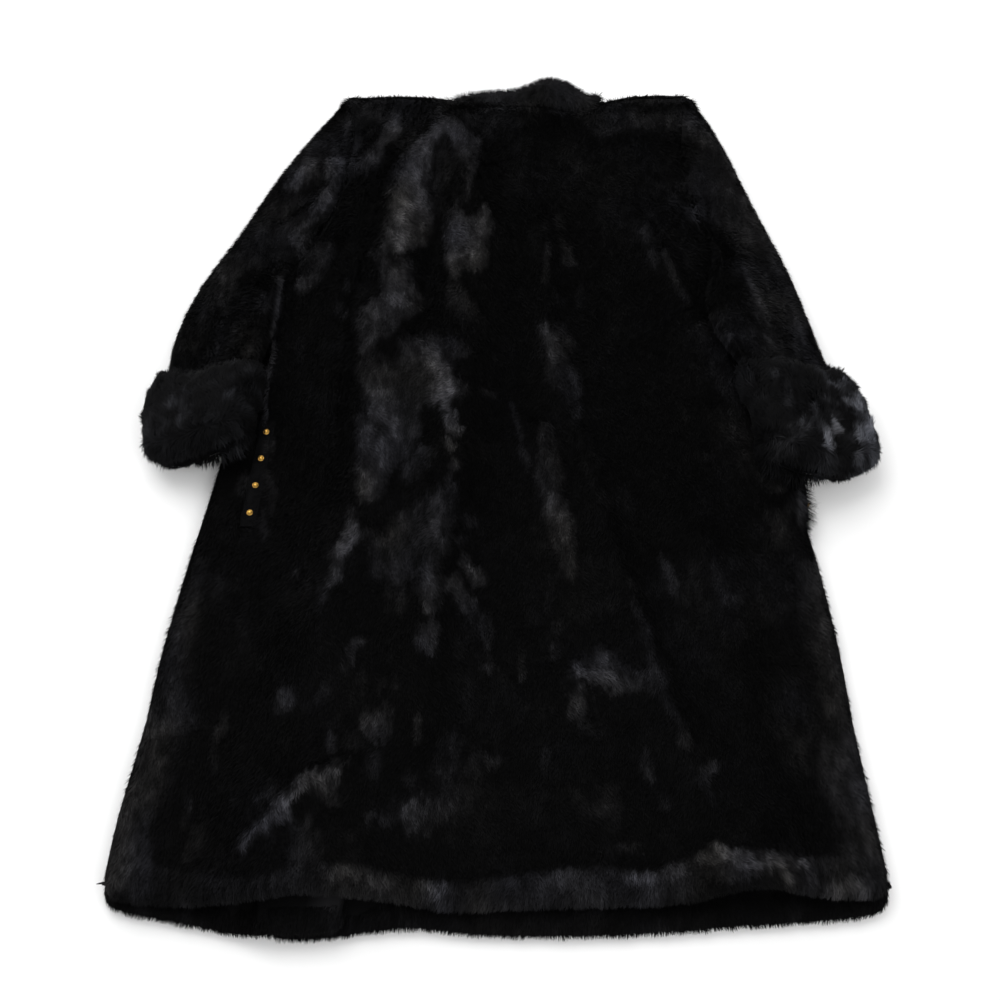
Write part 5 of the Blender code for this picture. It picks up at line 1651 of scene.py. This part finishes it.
@dataclass
class FrontPanel(FurPanel):
    """A front, whose pile shows at its hem and round its edges."""

    hem_line: float = -0.503

    def shown(self, places: np.ndarray, normals: np.ndarray) -> np.ndarray:
        """Pile grows on the hem and on the rounded edges, and not between the layers."""
        at_hem = places[:, 1] < self.hem_line
        at_edge = normals[:, 2] < 0.80
        bare = patch_share(BARE_CORNER, places) > 0.4
        return np.where((at_hem & ~bare) | at_edge, 1.0, 0.0)

    def depth_share(self, places: np.ndarray) -> np.ndarray:
        """Along the hem the turned-up fur stands above the lining."""
        return 0.2 + 0.8 * ease((places[:, 1] - self.hem_line) / 0.008)

    def base_tone(self, places: np.ndarray) -> np.ndarray:
        """The fronts lie in the shade of the back; a lighter tone painted into their pile lifts that shade.
        """
        return 0.014 + 0.012 * np.clip(CLUMPS.at(places), 0.0, 1.0)


@dataclass
class SleevePanel(FurPanel):
    """A sleeve, whose pile runs down the arm."""

    side: Side = Side.LEFT

    def nap(self, places: np.ndarray) -> np.ndarray:
        """The pile follows the sleeve's middle line towards the cuff."""
        line = SLEEVE_LINES[self.side]
        step = 0.02
        across = read_line(line, places[:, 1] - step) - read_line(line, places[:, 1] + step)
        return np.stack((across, np.full(len(places), -2 * step), np.zeros(len(places))), axis=1)

    def base_tone(self, places: np.ndarray) -> np.ndarray:
        """A painted sheen makes the sleeves a little lighter than the body, the left one more."""
        lift = 0.026 if self.side is Side.LEFT else 0.010
        armhole = 0.225 + 0.12 * (0.53 - places[:, 1])
        lift *= ease((np.abs(places[:, 0]) - armhole) / 0.05)
        return super().base_tone(places) + lift * (1.0 + 0.5 * CLUMPS.at(places))


@dataclass
class CuffPanel(FurPanel):
    """A turned-back cuff, with long pile that curls every way."""

    side: Side = Side.LEFT

    def nap(self, places: np.ndarray) -> np.ndarray:
        """The pile of the turned-back cuff runs up the arm, and curls."""
        curl = np.radians(75.0) * SWIRLS.at(places * 1.6)
        return np.stack((np.sin(curl), np.cos(curl), np.zeros(len(places))), axis=1)

    @staticmethod
    def hang(outward: np.ndarray) -> np.ndarray:
        """How far the pile hangs over the mouth of the sleeve, on the side of the hand."""
        return np.clip(-2.5 * outward[:, 1] - 0.4, 0.0, 1.0)

    @staticmethod
    def height_share(places: np.ndarray) -> np.ndarray:
        """How high a place is: 0 in the cuff's lower layer and 1 in its upper one."""
        return ease((places[:, 2] - 0.022) / 0.018)

    def shown(self, places: np.ndarray, normals: np.ndarray) -> np.ndarray:
        """The pile is denser where it hangs over the mouth."""
        return 1.0 + 1.2 * self.hang(normals)

    def lengths(self, places: np.ndarray, outward: np.ndarray) -> np.ndarray:
        """How long the pile is: longer where it hangs over the mouth, short at the floor."""
        high = self.height_share(places)
        longer = 1.0 + self.hang(outward) * (0.9 * high - 0.4 * (1.0 - high))
        return super().lengths(places, outward) * longer

    def laid_naps(self, spots: np.ndarray, outward: np.ndarray) -> np.ndarray:
        """The pile runs up the arm and hangs down over the mouth of the sleeve."""
        hang = self.hang(outward)[:, None]
        naps = super().laid_naps(spots, outward) * (1.0 - hang) + hang * (0.0, -0.6, -1.0)
        return unit(naps - (naps * outward).sum(axis=1)[:, None] * outward)

    def base_tone(self, places: np.ndarray) -> np.ndarray:
        """Highlights are painted on the cuff's curls here and there."""
        curls = SWIRLS.at(places * 2.2 + 0.7) + 0.8 * CLUMPS.at(places * 1.3 + 0.3)
        return 0.005 + 0.040 * np.clip(curls, 0.0, 1.0)


@dataclass
class CollarPanel(FurPanel):
    """The collar's roll, whose pile falls away from its crest."""

    def base_tone(self, places: np.ndarray) -> np.ndarray:
        """A little highlight is painted on the roll in tufts."""
        return 0.060 + 0.060 * np.clip(SWIRLS.at(places * 1.8) + 0.4, 0.0, 1.0)

    def laid_naps(self, spots: np.ndarray, outward: np.ndarray) -> np.ndarray:
        """The pile falls down both flanks of the roll."""
        fall = outward * (1.0, 1.0, 0.0) + (0.15, -0.25, -0.30)
        fall[:, 0] += 0.4 * SWIRLS.at(spots)
        return unit(fall - (fall * outward).sum(axis=1)[:, None] * outward)


# ------------------------------------------------------------------ smooth cloth and metal
@dataclass
class LiningPanel:
    """The lining inside a front: smooth satin with shallow ripples, and highlights painted where its marks
    say.
    """

    node: str
    rests_on: str
    marks: tuple[Stroke | Patch, ...] = ()
    ripple: float = 0.0004

    def build(self) -> None:
        """Build the lining and attach it to the root body."""
        shape = subdivided(merged_copy(self.node), 3)
        shape.normal_update()
        places = np.array([vert.co for vert in shape.verts])
        ripples = self.ripple * (SWIRLS.at(places * (1.0, 0.4, 1.0)) - 1.0)
        for vert, rise in zip(shape.verts, ripples):
            vert.co.z += rise * 0.5
        lining = finish_mesh(self.node + "_satin", shape, SATIN.material())
        shine = np.zeros(len(places))
        for mark in self.marks:
            shine = np.maximum(shine, mark_light(mark, places))
        stored = lining.data.attributes.new(SHINE_ATTRIBUTE, "FLOAT", "POINT")
        stored.data.foreach_set("value", shine.astype(np.float32))
        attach(lining, ROOT_BODY)
        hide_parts(self.node)


@dataclass
class PocketWelt:
    """A pocket's welt: a smooth cloth strip with a row of stitches along each long edge."""

    side: Side
    rests_on: str
    width: float = 0.018
    stitch_pitch: float = 0.0042
    stitch_length: float = 0.0028
    stitch_radius: float = 0.00035
    edge_inset: float = 0.0022

    def build(self) -> None:
        """Build the strip and its stitches, and attach them to the root body."""
        node = "pocket_welt_" + self.side.value
        shape = merged_copy(node)
        edges = [edge for edge in shape.edges if edge.calc_face_angle(0.0) > math.radians(50)]
        bmesh.ops.bevel(shape, geom=edges, offset=0.0008, segments=2, profile=0.5, affect="EDGES",
                        material=-1)
        bmesh.ops.recalc_face_normals(shape, faces=shape.faces[:])
        welt = finish_mesh(node + "_cloth", shape, WELT_CLOTH.material())
        stitches = self.build_stitches(node)
        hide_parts(node)
        for piece in (welt, stitches):
            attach(piece, ROOT_BODY)
        LOG.info("%s: strip and stitches", node)

    def build_stitches(self, node: str) -> bpy.types.Object:
        """Build two rows of stitches on the strip's shown face.

        Args:
            node: The strip's CAD node.

        Returns:
            The stitches as one object.
        """
        tree = cad_tree(node)
        places = np.array([vert.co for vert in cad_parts[node].data.vertices])
        outward = Vector((0, 0, 1)) if self.side is Side.LEFT else Vector((1, 0, 0))
        across = 0 if self.side is Side.LEFT else 2
        slope, level = np.polyfit(places[:, 1], places[:, across], 1)
        tilt = float(slope) if self.side is Side.LEFT else 0.0
        half = self.width / 2 - self.edge_inset
        low_y, high_y = places[:, 1].min() + 0.004, places[:, 1].max() - 0.004
        stitches = bmesh.new()
        for y in np.arange(low_y, high_y, self.stitch_pitch):
            for edge in (-half, half):
                spot = Vector((0.0, float(y), 0.0))
                spot[across] = float(slope * y + level + edge)
                shown = tree.ray_cast(spot + outward, -outward)
                if shown[0] is None:
                    continue
                made = bmesh.ops.create_cone(
                    stitches, cap_ends=True, segments=6, radius1=self.stitch_radius,
                    radius2=self.stitch_radius, depth=self.stitch_length)
                along = Vector((tilt, 1.0, 0.0))
                along -= along.project(shown[1])
                turn = along.to_track_quat("Z", "Y").to_matrix()
                bmesh.ops.rotate(stitches, cent=(0, 0, 0), matrix=turn, verts=made["verts"])
                bmesh.ops.translate(stitches, vec=shown[0], verts=made["verts"])
        return finish_mesh(node + "_stitches", stitches, STITCHES.material())


@dataclass
class StudRow:
    """The studs of a pocket: turned domes with a rolled rim."""

    side: Side
    count: int = 4
    steps: int = 28

    def build(self) -> None:
        """Build each stud in the place of its CAD dome."""
        for number in range(1, self.count + 1):
            node = f"stud_{self.side.value}_{number}"
            low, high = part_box(node)
            outward = Vector((0, 0, 1)) if self.side is Side.LEFT else Vector((1, 0, 0))
            reach = 0.5 * (high.y - low.y)
            height = (high - low) @ outward
            foot = (low + high) / 2 - outward * height / 2
            self.build_stud(node, foot, outward, reach, height)
        LOG.info("%d studs on the %s", self.count, self.side.value)

    def build_stud(self, node: str, foot: Vector, outward: Vector, radius: float,
                   height: float) -> None:
        """Turn one stud's profile about its axis.

        Args:
            node: The CAD node that the stud replaces.
            foot: The middle of its flat foot.
            outward: The way it faces.
            radius: Its radius.
            height: Its height.
        """
        profile = ((1.00, 0.00), (1.00, 0.12), (0.97, 0.20), (0.90, 0.22), (0.84, 0.20),
                   (0.80, 0.32), (0.70, 0.58), (0.55, 0.80), (0.36, 0.93), (0.18, 0.985),
                   (0.00, 1.00))
        stud = bmesh.new()
        verts = [stud.verts.new((radius * share, 0.0, height * rise)) for share, rise in profile]
        edges = [stud.edges.new(pair) for pair in zip(verts[:-1], verts[1:])]
        bmesh.ops.spin(stud, geom=verts + edges, cent=(0, 0, 0), axis=(0, 0, 1), dvec=(0, 0, 0),
                       angle=2 * math.pi, steps=self.steps, use_merge=True, use_duplicate=False)
        bmesh.ops.remove_doubles(stud, verts=stud.verts[:], dist=0.00001)
        rim = [edge for edge in stud.edges if edge.is_boundary]
        bmesh.ops.contextual_create(stud, geom=rim)
        bmesh.ops.recalc_face_normals(stud, faces=stud.faces[:])
        turn = outward.to_track_quat("Z", "Y").to_matrix()
        bmesh.ops.rotate(stud, cent=(0, 0, 0), matrix=turn, verts=stud.verts[:])
        bmesh.ops.translate(stud, vec=foot, verts=stud.verts[:])
        piece = finish_mesh(node + "_dome", stud, GOLD.material())
        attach(piece, ROOT_BODY)
        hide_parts(node)


# ------------------------------------------------------------------ studio
@dataclass(frozen=True)
class Studio:
    """A pale floor, soft light and a camera at the hem's side, 66 degrees above the floor."""

    lens: float = 57.6
    sensor: float = 36.0
    floor_size: float = 14.0
    floor_colour: tuple[float, float, float, float] = (0.93, 0.93, 0.93, 1.0)
    sky_strength: float = 0.72

    def build(self) -> None:
        """Build the floor, the lights and the camera."""
        self.build_floor()
        self.build_sky()
        self.build_light("key", (-0.9, 1.5, 2.6), 2.6, 62.0)
        self.build_light("fill", (1.4, -1.6, 2.4), 2.2, 22.0)
        self.build_camera()
        bpy.context.scene.view_settings.view_transform = "Standard"

    def build_floor(self) -> None:
        """Build the pale floor."""
        ground = bmesh.new()
        bmesh.ops.create_grid(ground, x_segments=1, y_segments=1, size=self.floor_size / 2)
        material, sketch, shader = empty_material("pale_floor")
        place = sketch.add("ShaderNodeTexCoord")
        speckle = sketch.add("ShaderNodeTexNoise")
        set_inputs(speckle, {"Scale": 6.0})
        sketch.link(place.outputs["Object"], speckle.inputs["Vector"])
        shade = tuple(value * 0.985 for value in self.floor_colour[:3]) + (1.0,)
        sketch.link(sketch.mix(speckle.outputs[0], self.floor_colour, shade),
                    shader.inputs["Base Color"])
        set_inputs(shader, {"Roughness": 0.9, "Specular IOR Level": 0.1})
        floor = finish_mesh("floor", ground, material)
        floor.location.z = -0.0005

    def build_sky(self) -> None:
        """Light the room evenly."""
        world = bpy.data.worlds.new("room")
        world.use_nodes = True
        background = world.node_tree.nodes["Background"]
        background.inputs["Color"].default_value = (1.0, 1.0, 1.0, 1.0)
        background.inputs["Strength"].default_value = self.sky_strength
        bpy.context.scene.world = world

    def build_light(self, name: str, place: tuple[float, float, float], size: float,
                    power: float) -> None:
        """Hang a square soft light that faces the coat.

        Args:
            name: The light's name.
            place: Where it hangs.
            size: Its side length.
            power: Its power in watts.
        """
        data = bpy.data.lights.new(name, "AREA")
        data.shape = "SQUARE"
        data.size = size
        data.energy = power
        light = bpy.data.objects.new(name, data)
        light.location = place
        towards = Vector((0.0, 0.0, 0.0)) - Vector(place)
        light.rotation_euler = towards.to_track_quat("-Z", "Y").to_euler()
        bpy.context.scene.collection.objects.link(light)

    def build_camera(self) -> None:
        """Set up the camera."""
        data = bpy.data.cameras.new("camera")
        data.lens = self.lens
        data.sensor_width = self.sensor
        data.sensor_height = self.sensor
        camera = bpy.data.objects.new("camera", data)
        camera.location = CAMERA_PLACE
        towards = Vector(CAMERA_TARGET) - Vector(CAMERA_PLACE)
        camera.rotation_euler = towards.to_track_quat("-Z", "Y").to_euler()
        bpy.context.scene.collection.objects.link(camera)
        bpy.context.scene.camera = camera


# ------------------------------------------------------------------ the coat
CUFF_STYLE = BladeStyle(length=0.0110, width=0.0010, root_lift=math.radians(50.0),
                        tip_lift=math.radians(18.0), edge_lift=0.30, bend=0.5,
                        stray=math.radians(18.0), clump=0.0042, spread=0.30)
COLLAR_STYLE = BladeStyle(length=0.0092, stray=math.radians(14.0))


def coat_parts() -> list[FurPanel | LiningPanel | PocketWelt | StudRow]:
    """List the coat's sub-assemblies, from the floor up.

    Returns:
        The sub-assemblies, ready to build.
    """
    left, right = Side.LEFT, Side.RIGHT
    cuff = {"density": 0.75, "finish": CUFF_FUR, "style": CUFF_STYLE, "lowest_normal": -0.70,
            "flank_length": 0.95, "contrast": 1.5, "closed_reach": 0.012, "sewn_to": ("back",)}
    lights = {"marks": COAT_LIGHTS, "creases": COAT_CREASES}
    return [
        FrontPanel("front_right", (0.67, 1.10), ("floor",), seed=101, density=0.75, levels=1,
                   sewn_to=("sleeve_right", "pocket_welt_right")),
        LiningPanel("lining_front_right", "front_right"),
        FrontPanel("front_left", (0.44, 1.09), ("front_right",), seed=102, density=0.75,
                   levels=1, marks=FRONT_MARKS, sewn_to=("sleeve_left",)),
        LiningPanel("lining_front_left", "front_left", LINING_MARKS),
        BackPanel("back", (0.86, 1.08), ("front_left", "front_right"), seed=103, density=0.66,
                  marks=COAT_LIGHTS + HEM_FIELDS + HEM_PATCHES, creases=COAT_CREASES,
                  bands=(-0.36, -0.13, 0.18),
                  sewn_to=("sleeve_left", "sleeve_right", "collar", "pocket_welt_right")),
        SleevePanel("sleeve_left", (0.40, 0.56), ("back", "floor"), seed=104, density=0.75,
                    side=left, sewn_to=("back", "front_left"), **lights),
        SleevePanel("sleeve_right", (0.40, 0.56), ("back", "floor"), seed=105, density=0.75,
                    side=right, sewn_to=("back", "front_right"), **lights),
        CuffPanel("cuff_left", (0.40, 0.20), ("sleeve_left",), seed=106, side=left,
                  marks=LEFT_CUFF_MARKS, **cuff),
        CuffPanel("cuff_right", (0.40, 0.20), ("sleeve_right",), seed=107, side=right,
                  marks=RIGHT_CUFF_MARKS, **cuff),
        CollarPanel("collar", (0.20, 0.07), ("back",), seed=108, density=0.75,
                    style=COLLAR_STYLE, flank_length=0.9, sewn_to=("back",)),
        PocketWelt(left, "back"),
        PocketWelt(right, "back"),
        StudRow(left),
        StudRow(right),
    ]


def main() -> None:
    """Build the coat and the studio, and log the welts and the studs."""
    logging.basicConfig(level=logging.INFO, format="%(name)s %(message)s")
    for part in coat_parts():
        part.build()
    Studio().build()


if __name__ == "__main__":
    main()
